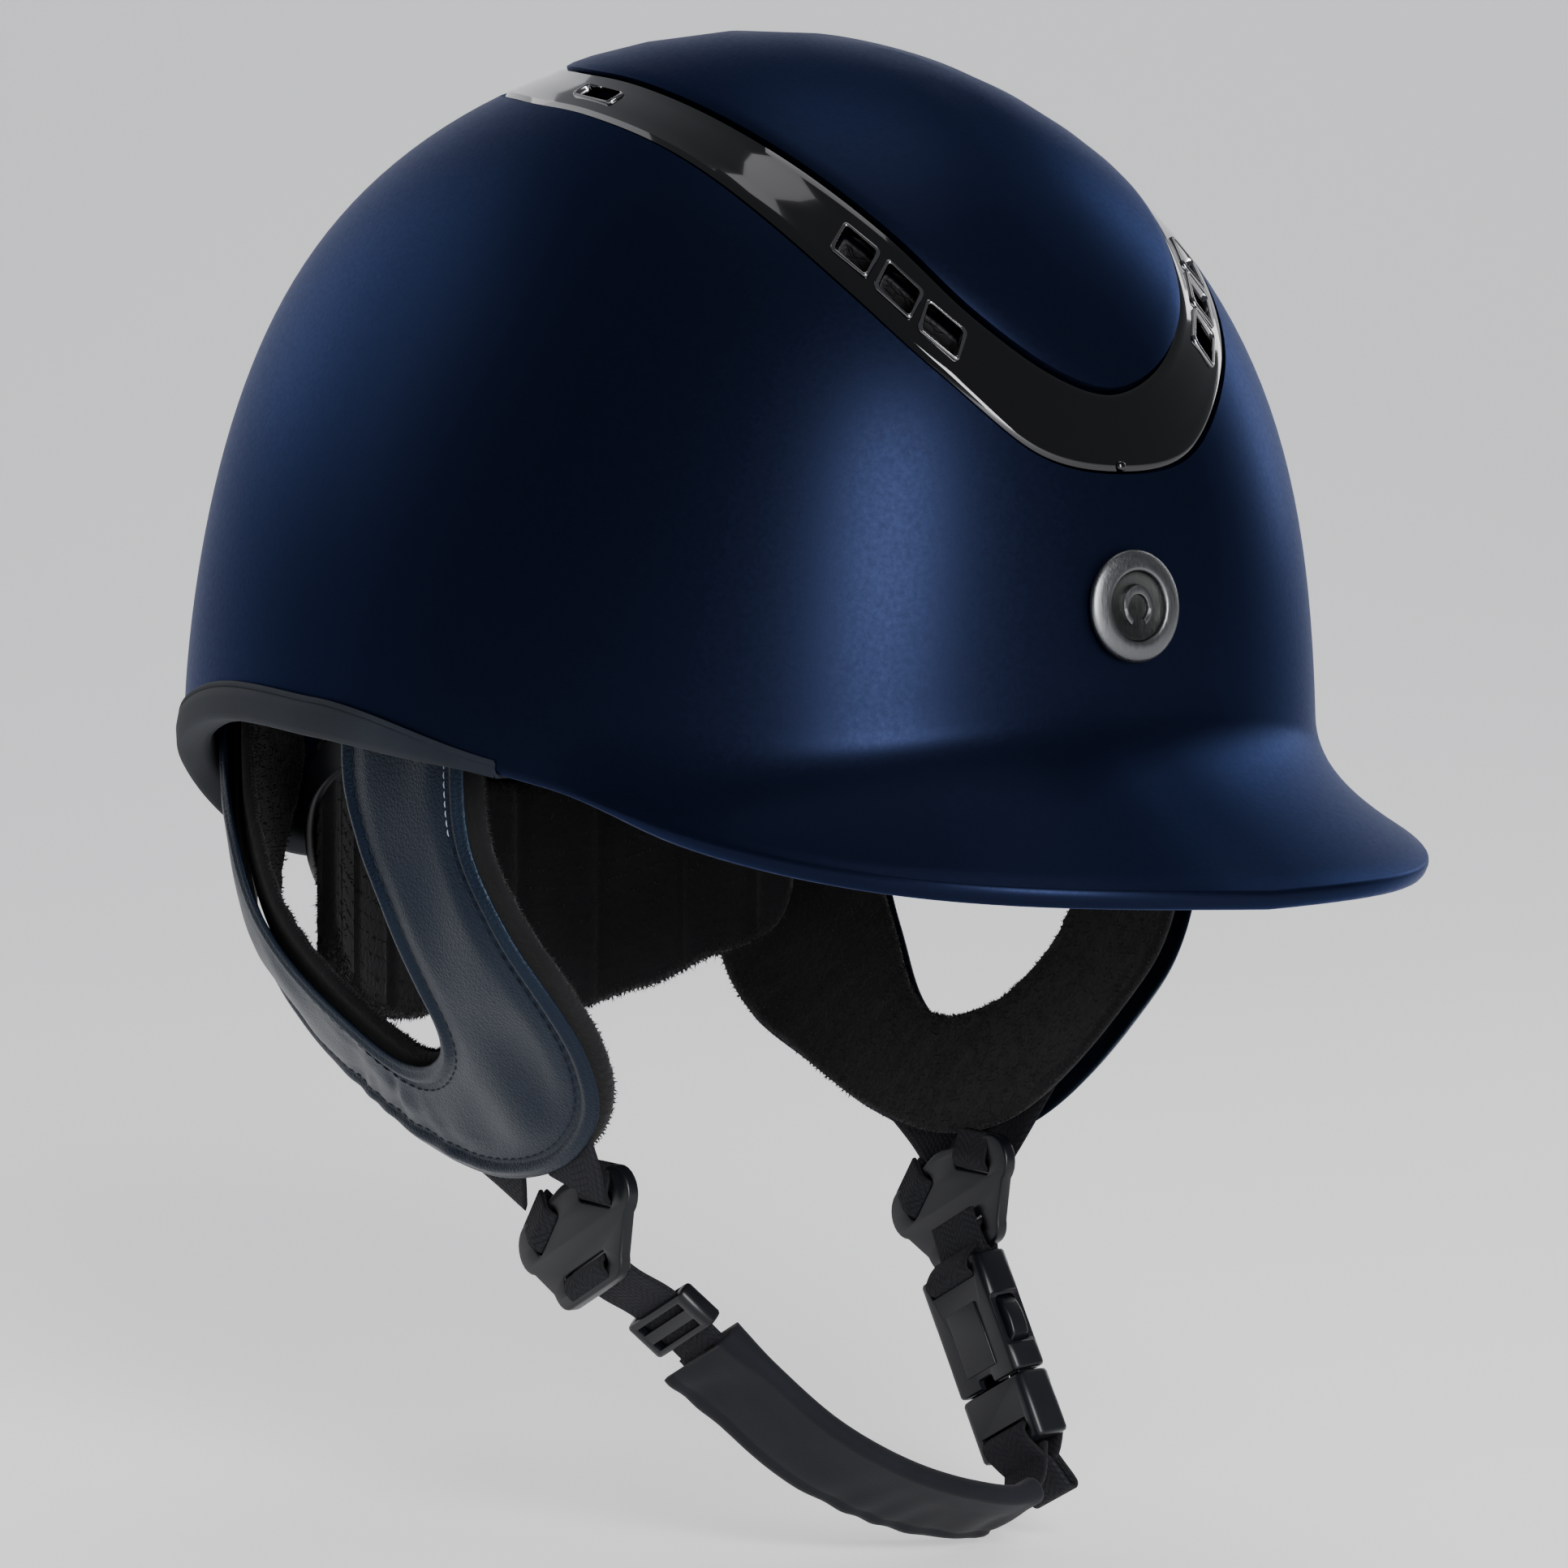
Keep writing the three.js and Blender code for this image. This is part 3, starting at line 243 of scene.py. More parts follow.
# ---- Meshes ---
def mesh_object(name, points, faces, uv=None, smooth_faces=True):
    """Mesh object from points in millimetres, with an optional map of millimetre coordinates per point."""
    mesh = bpy.data.meshes.new(name)
    mesh.from_pydata((np.asarray(points, float) * MM).tolist(), [], [list(map(int, f)) for f in faces])
    if uv is not None:
        layer = mesh.uv_layers.new(name="UVMap")
        corner = np.empty(len(mesh.loops), int)
        mesh.loops.foreach_get("vertex_index", corner)
        layer.data.foreach_set("uv", (np.asarray(uv, float) * MM)[corner].ravel())
    mesh.update()
    obj = bpy.data.objects.new(name, mesh)
    scene.collection.objects.link(obj)
    bm = bmesh.new()
    bm.from_mesh(mesh)
    bmesh.ops.remove_doubles(bm, verts=bm.verts, dist=1e-6)
    bmesh.ops.dissolve_degenerate(bm, edges=bm.edges, dist=1e-7)
    bmesh.ops.recalc_face_normals(bm, faces=bm.faces)
    bm.to_mesh(mesh)
    bm.free()
    mesh.polygons.foreach_set("use_smooth", [smooth_faces] * len(mesh.polygons))
    return obj


def grid_faces(rows, cols, wrap_rows=False, wrap_cols=False):
    faces = []
    for i in range(rows if wrap_rows else rows - 1):
        for j in range(cols if wrap_cols else cols - 1):
            a, b = i * cols + j, i * cols + (j + 1) % cols
            c, d = ((i + 1) % rows) * cols + (j + 1) % cols, ((i + 1) % rows) * cols + j
            faces.append((a, b, c, d))
    return faces


def ring_solid(name, rings, closed, uv=None):
    """Solid swept through rings of points, (stations, points, 3), with flat caps unless it is closed."""
    rings = np.asarray(rings, float)
    stations, count = rings.shape[:2]
    faces = grid_faces(stations, count, wrap_rows=closed, wrap_cols=True)
    if not closed:
        for base in (0, (stations - 1) * count):
            for j in range(count // 2 - 1):
                faces.append((base + j, base + j + 1, base + count - 2 - j, base + count - 1 - j))
    return mesh_object(name, rings.reshape(-1, 3), faces,
                       None if uv is None else np.asarray(uv).reshape(-1, 2))


def apply_modifier(obj, kind, **settings):
    made = obj.modifiers.new(kind.lower(), kind)
    for key, value in settings.items():
        setattr(made, key, value)
    deps = bpy.context.evaluated_depsgraph_get()
    mesh = bpy.data.meshes.new_from_object(obj.evaluated_get(deps))
    obj.modifiers.clear()
    obj.data = mesh
    return obj


def finish_piece(obj, material, body_name, replaces=()):
    """Gives a piece its material, its CAD body and the CAD nodes that it stands for."""
    obj.data.materials.clear()
    obj.data.materials.append(material)
    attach(obj, body_name)
    if replaces:
        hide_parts(*replaces)
    return obj


# ---- Materials ---
def new_material(name, color, roughness, metallic=0.0, **more):
    """Principled material; returns it with its node tree and shader."""
    made = bpy.data.materials.new(name)
    made.use_nodes = True
    shader = made.node_tree.nodes["Principled BSDF"]
    shader.inputs["Base Color"].default_value = (*color, 1)
    shader.inputs["Roughness"].default_value = roughness
    shader.inputs["Metallic"].default_value = metallic
    for key, value in more.items():
        shader.inputs[key.replace("_", " ")].default_value = value
    return made, made.node_tree, shader


def coordinates(tree, kind="Object", scale=(1, 1, 1)):
    place = tree.nodes.new("ShaderNodeTexCoord")
    mapping = tree.nodes.new("ShaderNodeMapping")
    mapping.inputs["Scale"].default_value = scale
    tree.links.new(place.outputs[kind], mapping.inputs["Vector"])
    return mapping.outputs["Vector"]


def noise(tree, vector, scale, detail=3.0, roughness=0.5):
    made = tree.nodes.new("ShaderNodeTexNoise")
    made.inputs["Scale"].default_value = scale
    made.inputs["Detail"].default_value = detail
    made.inputs["Roughness"].default_value = roughness
    tree.links.new(vector, made.inputs["Vector"])
    return made.outputs["Fac"]


def ramp_value(tree, value, low, high, from_low=0.3, from_high=0.7):
    made = tree.nodes.new("ShaderNodeMapRange")
    for key, number in (("From Min", from_low), ("From Max", from_high), ("To Min", low), ("To Max", high)):
        made.inputs[key].default_value = number
    tree.links.new(value, made.inputs["Value"])
    return made.outputs["Result"]


def math_node(tree, operation, a, b=None):
    made = tree.nodes.new("ShaderNodeMath")
    made.operation = operation
    for socket, value in zip(made.inputs, (a, b)):
        if value is None:
            continue
        if isinstance(value, (int, float)):
            socket.default_value = value
        else:
            tree.links.new(value, socket)
    return made.outputs[0]


def mix_color(tree, factor, a, b):
    made = tree.nodes.new("ShaderNodeMix")
    made.data_type = "RGBA"
    tree.links.new(factor, made.inputs["Factor"])
    made.inputs["A"].default_value = (*a, 1)
    made.inputs["B"].default_value = (*b, 1)
    return made.outputs["Result"]


def bump(tree, shader, height, distance, strength=1.0):
    made = tree.nodes.new("ShaderNodeBump")
    made.inputs["Strength"].default_value = strength
    made.inputs["Distance"].default_value = distance
    tree.links.new(height, made.inputs["Height"])
    tree.links.new(made.outputs["Normal"], shader.inputs["Normal"])


def shell_paint():
    """Matte metallic navy with a fine flake."""
    made, tree, shader = new_material("navy_metallic_paint", (0.0048, 0.0066, 0.0175), 0.4, 0.86,
                                      Specular_IOR_Level=0.15,
                                      Specular_Tint=(0.5, 0.55, 0.8, 1))
    vector = coordinates(tree)
    flake = noise(tree, vector, 2600, 2)
    color = mix_color(tree, flake, (0.0036, 0.0052, 0.0140), (0.0060, 0.0084, 0.0225))
    tree.links.new(color, shader.inputs["Base Color"])
    tree.links.new(ramp_value(tree, noise(tree, vector, 900, 3), 0.38, 0.44), shader.inputs["Roughness"])
    bump(tree, shader, noise(tree, vector, 1800, 2), 0.00001, 0.35)
    return made


def black_chrome(name, color):
    made, tree, shader = new_material(name, color, 0.07, 1.0, Coat_Weight=0.5, Coat_Roughness=0.03)
    smudge = noise(tree, coordinates(tree), 60, 4)
    tree.links.new(ramp_value(tree, smudge, 0.045, 0.11), shader.inputs["Roughness"])
    return made


def brushed_gunmetal(name, color, turn=0.5):
    """Dark metal with fine straight brushing across it."""
    made, tree, shader = new_material(name, color, 0.34, 1.0)
    vector = coordinates(tree, scale=(1, 1, 0.06))
    grain = noise(tree, vector, 4200, 3, 0.7)
    tree.links.new(ramp_value(tree, grain, 0.26, 0.46), shader.inputs["Roughness"])
    dark = tuple(0.6 * c for c in color)
    tree.links.new(mix_color(tree, grain, dark, tuple(min(1, 1.25 * c) for c in color)),
                   shader.inputs["Base Color"])
    bump(tree, shader, grain, 0.00004, turn)
    return made


def soft_grain(name, color, roughness, scale, depth, sheen=0.0, wear=0.0, shine=0.2):
    """Plain coloured surface with a fine irregular grain and slight colour wear."""
    made, tree, shader = new_material(name, color, roughness, Sheen_Weight=sheen, Sheen_Roughness=0.5,
                                      Specular_IOR_Level=shine)
    vector = coordinates(tree)
    grain = noise(tree, vector, scale, 5, 0.6)
    lighter = tuple(c * (1.35 + wear) + 0.002 for c in color)
    patch = noise(tree, vector, 38, 4)
    tree.links.new(mix_color(tree, ramp_value(tree, patch, 0, 1), tuple(0.8 * c for c in color), lighter),
                   shader.inputs["Base Color"])
    bump(tree, shader, grain, depth, 0.8)
    return made


def pebbled_leather():
    """Dark navy coated leather: shallow pebbling with fine creases."""
    made, tree, shader = new_material("navy_leather", (0.003, 0.005, 0.010), 0.42, Specular_IOR_Level=0.2,
                                      Specular_Tint=(0.55, 0.75, 1.0, 1))
    vector = coordinates(tree)
    cells = tree.nodes.new("ShaderNodeTexVoronoi")
    cells.feature = "DISTANCE_TO_EDGE"
    cells.inputs["Scale"].default_value = 950
    tree.links.new(vector, cells.inputs["Vector"])
    pebble = ramp_value(tree, cells.outputs["Distance"], 0, 1, 0.0, 0.25)
    crease = noise(tree, vector, 260, 5, 0.62)
    height = math_node(tree, "ADD", pebble, math_node(tree, "MULTIPLY", crease, 1.6))
    patch = noise(tree, vector, 30, 4)
    tree.links.new(mix_color(tree, ramp_value(tree, patch, 0, 1), (0.0018, 0.0029, 0.0064),
                             (0.0032, 0.0050, 0.0105)),
                   shader.inputs["Base Color"])
    tree.links.new(ramp_value(tree, patch, 0.34, 0.46), shader.inputs["Roughness"])
    bump(tree, shader, height, 0.00007, 0.7)
    return made


def woven(name, color, highlight, across=0.0011, along=0.0016, depth=0.00022):
    """Ribbed twill weave on the UV map, whose units are metres: u across the strap and v along it. The yarn
    crests are painted lighter as highlight and the grooves darker as shade.
    """
    made, tree, shader = new_material(name, color, 0.8, Sheen_Weight=0.02, Sheen_Roughness=0.45,
                                      Specular_IOR_Level=0.15)
    place = tree.nodes.new("ShaderNodeTexCoord")
    split = tree.nodes.new("ShaderNodeSeparateXYZ")
    tree.links.new(place.outputs["UV"], split.inputs[0])
    u = math_node(tree, "DIVIDE", split.outputs[0], across)
    v = math_node(tree, "DIVIDE", split.outputs[1], along)
    fold = math_node(tree, "PINGPONG", u, 4.0)
    twill = math_node(tree, "ADD", v, math_node(tree, "MULTIPLY", fold, 0.5))
    yarn = math_node(tree, "ABSOLUTE", math_node(tree, "SINE", math_node(tree, "MULTIPLY", twill, math.pi)))
    warp = math_node(tree, "ABSOLUTE", math_node(tree, "SINE", math_node(tree, "MULTIPLY", u, math.pi)))
    height = math_node(tree, "MULTIPLY", math_node(tree, "POWER", yarn, 0.6),
                       math_node(tree, "POWER", warp, 0.5))
    fibre = noise(tree, coordinates(tree), 1500, 3)
    total = math_node(tree, "ADD", height, math_node(tree, "MULTIPLY", fibre, 0.35))
    # Painted highlight on the yarn crests and painted shade in the grooves: the colour follows the weave's
    # height.
    tree.links.new(mix_color(tree, height, color, highlight), shader.inputs["Base Color"])
    bump(tree, shader, total, depth, 0.9)
    return made


def mesh_textile():
    """Black spacer fabric: small knitted holes, painted darker inside as shade."""
    made, tree, shader = new_material("black_spacer_fabric", (0.004, 0.004, 0.005), 0.9, Sheen_Weight=0.05)
    cells = tree.nodes.new("ShaderNodeTexVoronoi")
    cells.inputs["Scale"].default_value = 480
    cells.inputs["Randomness"].default_value = 0.25
    tree.links.new(coordinates(tree), cells.inputs["Vector"])
    hole = ramp_value(tree, cells.outputs["Distance"], 0, 1, 0.1, 0.45)
    # Painted shade: the knitted holes are coloured near black where shade falls in them.
    tree.links.new(mix_color(tree, hole, (0.001, 0.001, 0.0015), (0.009, 0.009, 0.011)),
                   shader.inputs["Base Color"])
    bump(tree, shader, hole, 0.0003, 0.8)
    return made


def foam_beads():
    """Dark expanded foam with the pattern of its beads, painted darker along the grooves between beads as
    shade.
    """
    made, tree, shader = new_material("dark_bead_foam", (0.013, 0.013, 0.015), 0.85)
    cells = tree.nodes.new("ShaderNodeTexVoronoi")
    cells.feature = "DISTANCE_TO_EDGE"
    cells.inputs["Scale"].default_value = 330
    tree.links.new(coordinates(tree), cells.inputs["Vector"])
    bead = ramp_value(tree, cells.outputs["Distance"], 0, 1, 0.0, 0.12)
    # Painted shade: the grooves between beads are coloured darker than the bead faces.
    tree.links.new(mix_color(tree, bead, (0.004, 0.004, 0.005), (0.020, 0.020, 0.023)),
                   shader.inputs["Base Color"])
    bump(tree, shader, bead, 0.0002, 0.6)
    return made


PAINT = shell_paint()
CHROME = black_chrome("black_chrome", (0.022, 0.022, 0.024))
# Painted highlight: a lighter copy of the black chrome stands in for the glint along the window edges.
GLINT_PAINTED_CHROME = black_chrome("bevel_painted_glint_chrome", (0.13, 0.13, 0.135))
BEZEL_METAL = brushed_gunmetal("brushed_gunmetal", (0.115, 0.118, 0.122))
DISC_METAL = brushed_gunmetal("dark_relief_metal", (0.055, 0.056, 0.055), 0.3)
EDGING = soft_grain("slate_edging", (0.0050, 0.0072, 0.0115), 0.7, 1400, 0.00006, 0.02, shine=0.12)
LEATHER = pebbled_leather()
SLEEVE = soft_grain("soft_sleeve_fabric", (0.0024, 0.0030, 0.0052), 0.85, 2400, 0.00012, 0.04, shine=0.15)
FLEECE = soft_grain("black_fleece", (0.0022, 0.0022, 0.0028), 0.98, 700, 0.0007, 0.06)
FUZZ = soft_grain("black_fibre", (0.0030, 0.0030, 0.0037), 0.95, 900, 0.00005, 0.08)
SPACER = mesh_textile()
FOAM = foam_beads()
# Each woven colour pair is the yarn's colour and a painted highlight colour for its crests.
WEAVE = woven("black_webbing", (0.0018, 0.0018, 0.0025), (0.0085, 0.009, 0.012))
PLASTIC = soft_grain("black_satin_plastic", (0.0018, 0.0022, 0.0034), 0.34, 1900, 0.000012, shine=0.25)
THREAD_DARK = woven("navy_thread", (0.006, 0.009, 0.016), (0.016, 0.021, 0.034), 0.0003, 0.0005, 0.00005)
THREAD_LIGHT = woven("pale_thread", (0.20, 0.21, 0.24), (0.42, 0.43, 0.46), 0.0003, 0.0005, 0.00005)


# ---- Shell, crown panel and vent frame ---
def closed_ring_solid(name, outer, inner, uv=None):
    """Solid between two open rows per station, shapes (stations, rows, 3), going round a closed loop."""
    rings = np.concatenate([outer, inner[:, ::-1]], axis=1)
    return ring_solid(name, rings, True, uv)


def crown_disc(name, shares, rim_move, top, bottom, count):
    """Disc over the crown from the middle out to a share of the vent loop's board."""
    turns = np.arange(count) / count
    centre = np.array([0.0, 45.0])

    def rows(distances):
        made = []
        for i, share in enumerate(shares):
            if share <= 1:
                rim = loop_board(turns, np.ones(count),
                                 np.full(count, rim_move if i == len(shares) - 1 else 0.0))
                board = centre + (rim - centre) * share
            else:
                board = loop_board(turns, np.full(count, share), np.full(count, rim_move))
            made.append(loop_point(board, np.full(count, distances[i])))
        return np.stack(made, 1)

    return closed_ring_solid(name, rows(top), rows([bottom] * len(shares)))


def window_tool(turn, length, width, slant, depth=22.0, rise=8.0):
    """Slanted prism through the vent frame at a turn of the loop, in millimetres."""
    at_turn = np.array([turn])
    board = loop_board(at_turn, np.array([1.52]))
    ahead = loop_board(at_turn + 0.01, np.array([1.52]))
    at = loop_point(board, np.zeros(1))[0]
    out = unit(loop_point(board, np.ones(1))[0] - at)
    run = unit(loop_point(ahead, np.zeros(1))[0] - at)
    run = unit(run - out * np.dot(run, out))
    side = np.cross(out, run)
    lean = math.tan(math.radians(slant)) * width
    corners = [(-length / 2 - lean / 2, -width / 2), (length / 2 - lean / 2, -width / 2),
               (length / 2 + lean / 2, width / 2), (-length / 2 + lean / 2, width / 2)]
    ring = rounded_polygon(corners, 1.1, 5)
    return [[at + run * a + side * b + out * h for a, b in ring] for h in (-depth, rise)], (at, run, side,
                                                                                            out, ring)


def rounded_polygon(corners, radius, steps):
    """Closed outline of a polygon with rounded corners."""
    made = []
    count = len(corners)
    for i in range(count):
        here = np.array(corners[i], float)
        before, after = unit(np.array(corners[i - 1]) - here), unit(np.array(corners[(i + 1) % count]) - here)
        start, end = here + before * radius, here + after * radius
        for k in range(steps + 1):
            t = k / steps
            made.append((1 - t) ** 2 * start + 2 * t * (1 - t) * here + t * t * end)
    return made


def prism(name, rings):
    count = len(rings[0])
    points = np.concatenate([np.array(r) for r in rings])
    faces = grid_faces(len(rings), count, wrap_cols=True)
    faces.append(tuple(range(count))[::-1])
    faces.append(tuple(range((len(rings) - 1) * count, len(rings) * count)))
    return mesh_object(name, points, faces)


def vent_windows():
    """Every window's prism rings and frame, both sides: three slanted windows and a long slot behind."""
    made = []
    for way in (1, -1):
        for turn in VENT_TURNS:
            made.append(window_tool(way * turn, VENT_LENGTH, VENT_WIDTH, way * VENT_SLANT))
        made.append(window_tool(way * REAR_SLOT_TURN, REAR_SLOT_LENGTH, REAR_SLOT_WIDTH, 0))
    return made


WINDOWS = vent_windows()


def cut_with(obj, tools):
    """Cuts tool meshes out of an object, then removes the tools."""
    for tool in tools:
        apply_modifier(obj, "BOOLEAN", object=tool, operation="DIFFERENCE", solver="EXACT")
    for tool in tools:
        bpy.data.objects.remove(tool)
    return obj


def mark_sharp(obj, degrees=32):
    obj.data.polygons.foreach_set("use_smooth", [True] * len(obj.data.polygons))
    obj.data.set_sharp_from_angle(angle=math.radians(degrees))
    return obj


def window_tools(grow=0.0):
    made = []
    for i, (_, (at, run, side, out, ring)) in enumerate(WINDOWS):
        wide = [(a * (1 + grow / max(abs(a), 3)), b * (1 + grow / max(abs(b), 3))) for a, b in ring]
        made.append(prism(f"window_tool_{i}", [[at + run * a + side * b + out * h for a, b in wide]
                                               for h in (-22, 8)]))
    return made


def outer_shell():
    angles = np.arange(0, 360, 2.0)
    levels = np.concatenate([np.linspace(0, 1, 15)[:-1], 1 + np.linspace(0, 1, 46) ** 1.0])
    u, v = np.meshgrid(angles, levels[:-1], indexing="ij")
    pole = np.array([0, 0, CROWN_HEIGHT])

    def rows(distance):
        face = offset(shell, u, v, np.full(u.shape, distance))
        top = np.broadcast_to(pole + np.array([0, 0, distance]), (len(angles), 1, 3))
        return np.concatenate([face, top], 1)

    foot, above = shell(angles, 0 * angles), shell(angles, 0 * angles + 0.05)
    down = unit(foot - above)
    half = SHELL_THICKNESS / 2
    lip = []
    for step in np.linspace(-90, 90, 9)[1:-1]:
        out = -half + half * math.sin(math.radians(-step))
        lip.append(offset(shell, angles, 0 * angles, np.full(len(angles), out))
                   + down * LIP_ROUNDING * math.cos(math.radians(step)))
    outer, inner = rows(0.0), rows(-SHELL_THICKNESS)
    rings = np.concatenate([outer[:, ::-1], np.stack(lip, 1), inner], axis=1)
    made = ring_solid("outer_shell_paint", rings, True)
    bm = bmesh.new()
    bm.from_mesh(made.data)
    bmesh.ops.delete(bm, geom=[f for f in bm.faces if f.calc_area() < 1e-12], context="FACES_ONLY")
    bm.to_mesh(made.data)
    bm.free()
    recess = crown_disc("recess_tool", [0, 0.3, 0.6, 0.9, 1, 2], 0.5, [8] * 6, -TRIM_DEPTH - GAP, 200)
    return made, recess


def shell_and_crown():
    made, recess = outer_shell()
    cut_with(made, [recess])
    cut_with(made, window_tools(0.25))
    mark_sharp(made)
    finish_piece(made, PAINT, "helmet", ["outer_shell"])
    shares = [0, 0.2, 0.4, 0.6, 0.8, 0.93, 0.975, 0.993, 1]
    crown = crown_disc("crown_panel_paint", shares, -0.4, [CROWN_RISE] * 6 + [0.75, 0.45, -0.1], -TRIM_DEPTH,
                       240)
    mark_sharp(crown, 50)
    finish_piece(crown, PAINT, "helmet", ["crown_panel"])


def vent_trim():
    """Glossy frame round the crown, dished along its middle with a rounded bead at each edge."""
    turns = np.arange(360) / 360
    profile = [(1.0, -1.4, 0.25), (1.0, -0.55, 0.05), (1.0, -0.12, 0.6), (1.08, 0.12, 0), (1.16, 0.0, 0),
               (1.3, -0.1, 0),
               (1.5, 0.0, 0), (1.7, -0.05, 0), (1.84, 0.0, 0), (1.92, 0.12, 0), (2.0, -0.12, -0.6),
               (2.0, -0.55, -0.05),
               (2.0, -1.4, -0.25)]
    outer = []
    for share, height, sideways in profile:
        board = loop_board(turns, np.full(360, share), np.full(360, sideways))
        outer.append(loop_point(board, np.full(360, height)))
    inner = []
    for share in (1.0, 1.5, 2.0):
        inner.append(loop_point(loop_board(turns, np.full(360, share)), np.full(360, -TRIM_DEPTH)))
    made = closed_ring_solid("vent_trim_chrome", np.stack(outer, 1), np.stack(inner, 1))
    cut_with(made, window_tools())
    mark_sharp(made, 38)
    finish_piece(made, CHROME, "helmet", ["vent_trim"])
    window_rims()
    moulding_nub()


def window_rims():
    """Raised bead round each window of the vent frame, in a lighter chrome that paints the glint along the
    window edges.
    """
    points, faces = [], []
    for _, (at, run, side, out, ring) in WINDOWS:
        count = len(ring)
        bead = [(-0.25, -2.0), (-0.25, 0.15), (0.0, 0.42), (0.4, 0.45), (0.75, 0.2), (0.85, -0.3)]
        base = len(points)
        centre = np.mean(ring, axis=0)
        for a, b in ring:
            spoke = unit(np.array([a, b]) - centre)
            for wide, high in bead:
                p = at + run * (a + spoke[0] * wide) + side * (b + spoke[1] * wide)
                points.append(p + out * high)
        faces += [tuple(base + k for k in f) for f in grid_faces(count, len(bead), wrap_rows=True,
                                                                 wrap_cols=True)]
    made = mesh_object("vent_window_rims", points, faces)
    mark_sharp(made, 60)
    finish_piece(made, GLINT_PAINTED_CHROME, "helmet")


def moulding_nub():
    """Small locating nub of the frame, below its foot at the brow."""
    board = loop_board(np.array([0.0]), np.array([2.0]), np.array([-0.8]))
    at = loop_point(board, np.zeros(1))[0]
    out = unit(loop_point(board, np.ones(1))[0] - at)
    made = lathe("vent_trim_nub", [(0, 0.9), (0.7, 0.8), (1.1, 0.35), (1.2, -0.6)], at, out, 20)
    finish_piece(made, CHROME, "helmet")


def lathe(name, profile, at, out, steps, start=0.0, end=360.0):
    """Turned mesh: profile of (radius, height) along the direction out from at."""
    at, out = np.asarray(at, float), unit(np.asarray(out, float))
    side = unit(np.cross((0, 0, 1), out))
    up = np.cross(out, side)
    closed = end - start >= 360
    angles = np.radians(np.linspace(start, end, steps, endpoint=not closed))
    points = [at + side * r * math.cos(a) + up * r * math.sin(a) + out * h for a in angles for r,
              h in profile]
    faces = grid_faces(len(angles), len(profile), wrap_rows=closed)
    return mesh_object(name, points, faces)


BADGE_AT = body(0.0, BADGE_HEIGHT)
BADGE_OUT = unit(offset(body, 0.0, BADGE_HEIGHT, 1.0, 0.5, 1.0) - BADGE_AT)


def badge():
    """Round bezel and a dark inner disc with a plain horseshoe in relief."""
    r = BADGE_RADIUS
    bezel = [(r * 0.62, 1.2), (r * 0.62, 2.75), (r * 0.645, 3.08), (r * 0.69, 3.18), (r * 0.76, 3.08),
             (r * 0.86, 2.8),
             (r * 0.94, 2.45), (r * 0.985, 2.1), (r, 1.7), (r * 0.985, 1.0), (r * 0.93, 0.4)]
    ring = lathe("badge_bezel_ring", bezel, BADGE_AT, BADGE_OUT, 96)
    mark_sharp(ring, 50)
    finish_piece(ring, BEZEL_METAL, "helmet", ["badge_bezel"])
    disc = [(0, 2.15), (r * 0.50, 2.15), (r * 0.53, 2.35), (r * 0.60, 2.35), (r * 0.625, 2.1),
            (r * 0.625, 1.0)]
    plate = lathe("badge_disc_plate", disc, BADGE_AT, BADGE_OUT, 96)
    mark_sharp(plate, 40)
    finish_piece(plate, DISC_METAL, "helmet", ["badge_disc"])
    side = unit(np.cross((0, 0, 1), BADGE_OUT))
    up = np.cross(BADGE_OUT, side)
    points = []
    stations = np.radians(np.linspace(-60, 240, 41))
    for a in stations:
        wide = 0.75 + 0.35 * math.sin(max(a, 0) if a < math.pi else math.pi)
        for across, high in ((-wide, 2.1), (-wide * 0.8, 2.75), (0, 2.95), (wide * 0.8, 2.75), (wide, 2.1)):
            radius = 3.5 + across
            points.append(BADGE_AT + side * radius * 0.9 * math.cos(a) + up * (radius * math.sin(a) - 0.1)
                          + BADGE_OUT * high)
    shoe = mesh_object("badge_relief", points, grid_faces(len(stations), 5) + [(0, 1, 2, 3, 4),
                       tuple(5 * (len(stations) - 1) + k for k in (4, 3, 2, 1, 0))])
    mark_sharp(shoe, 40)
    finish_piece(shoe, BEZEL_METAL, "helmet")


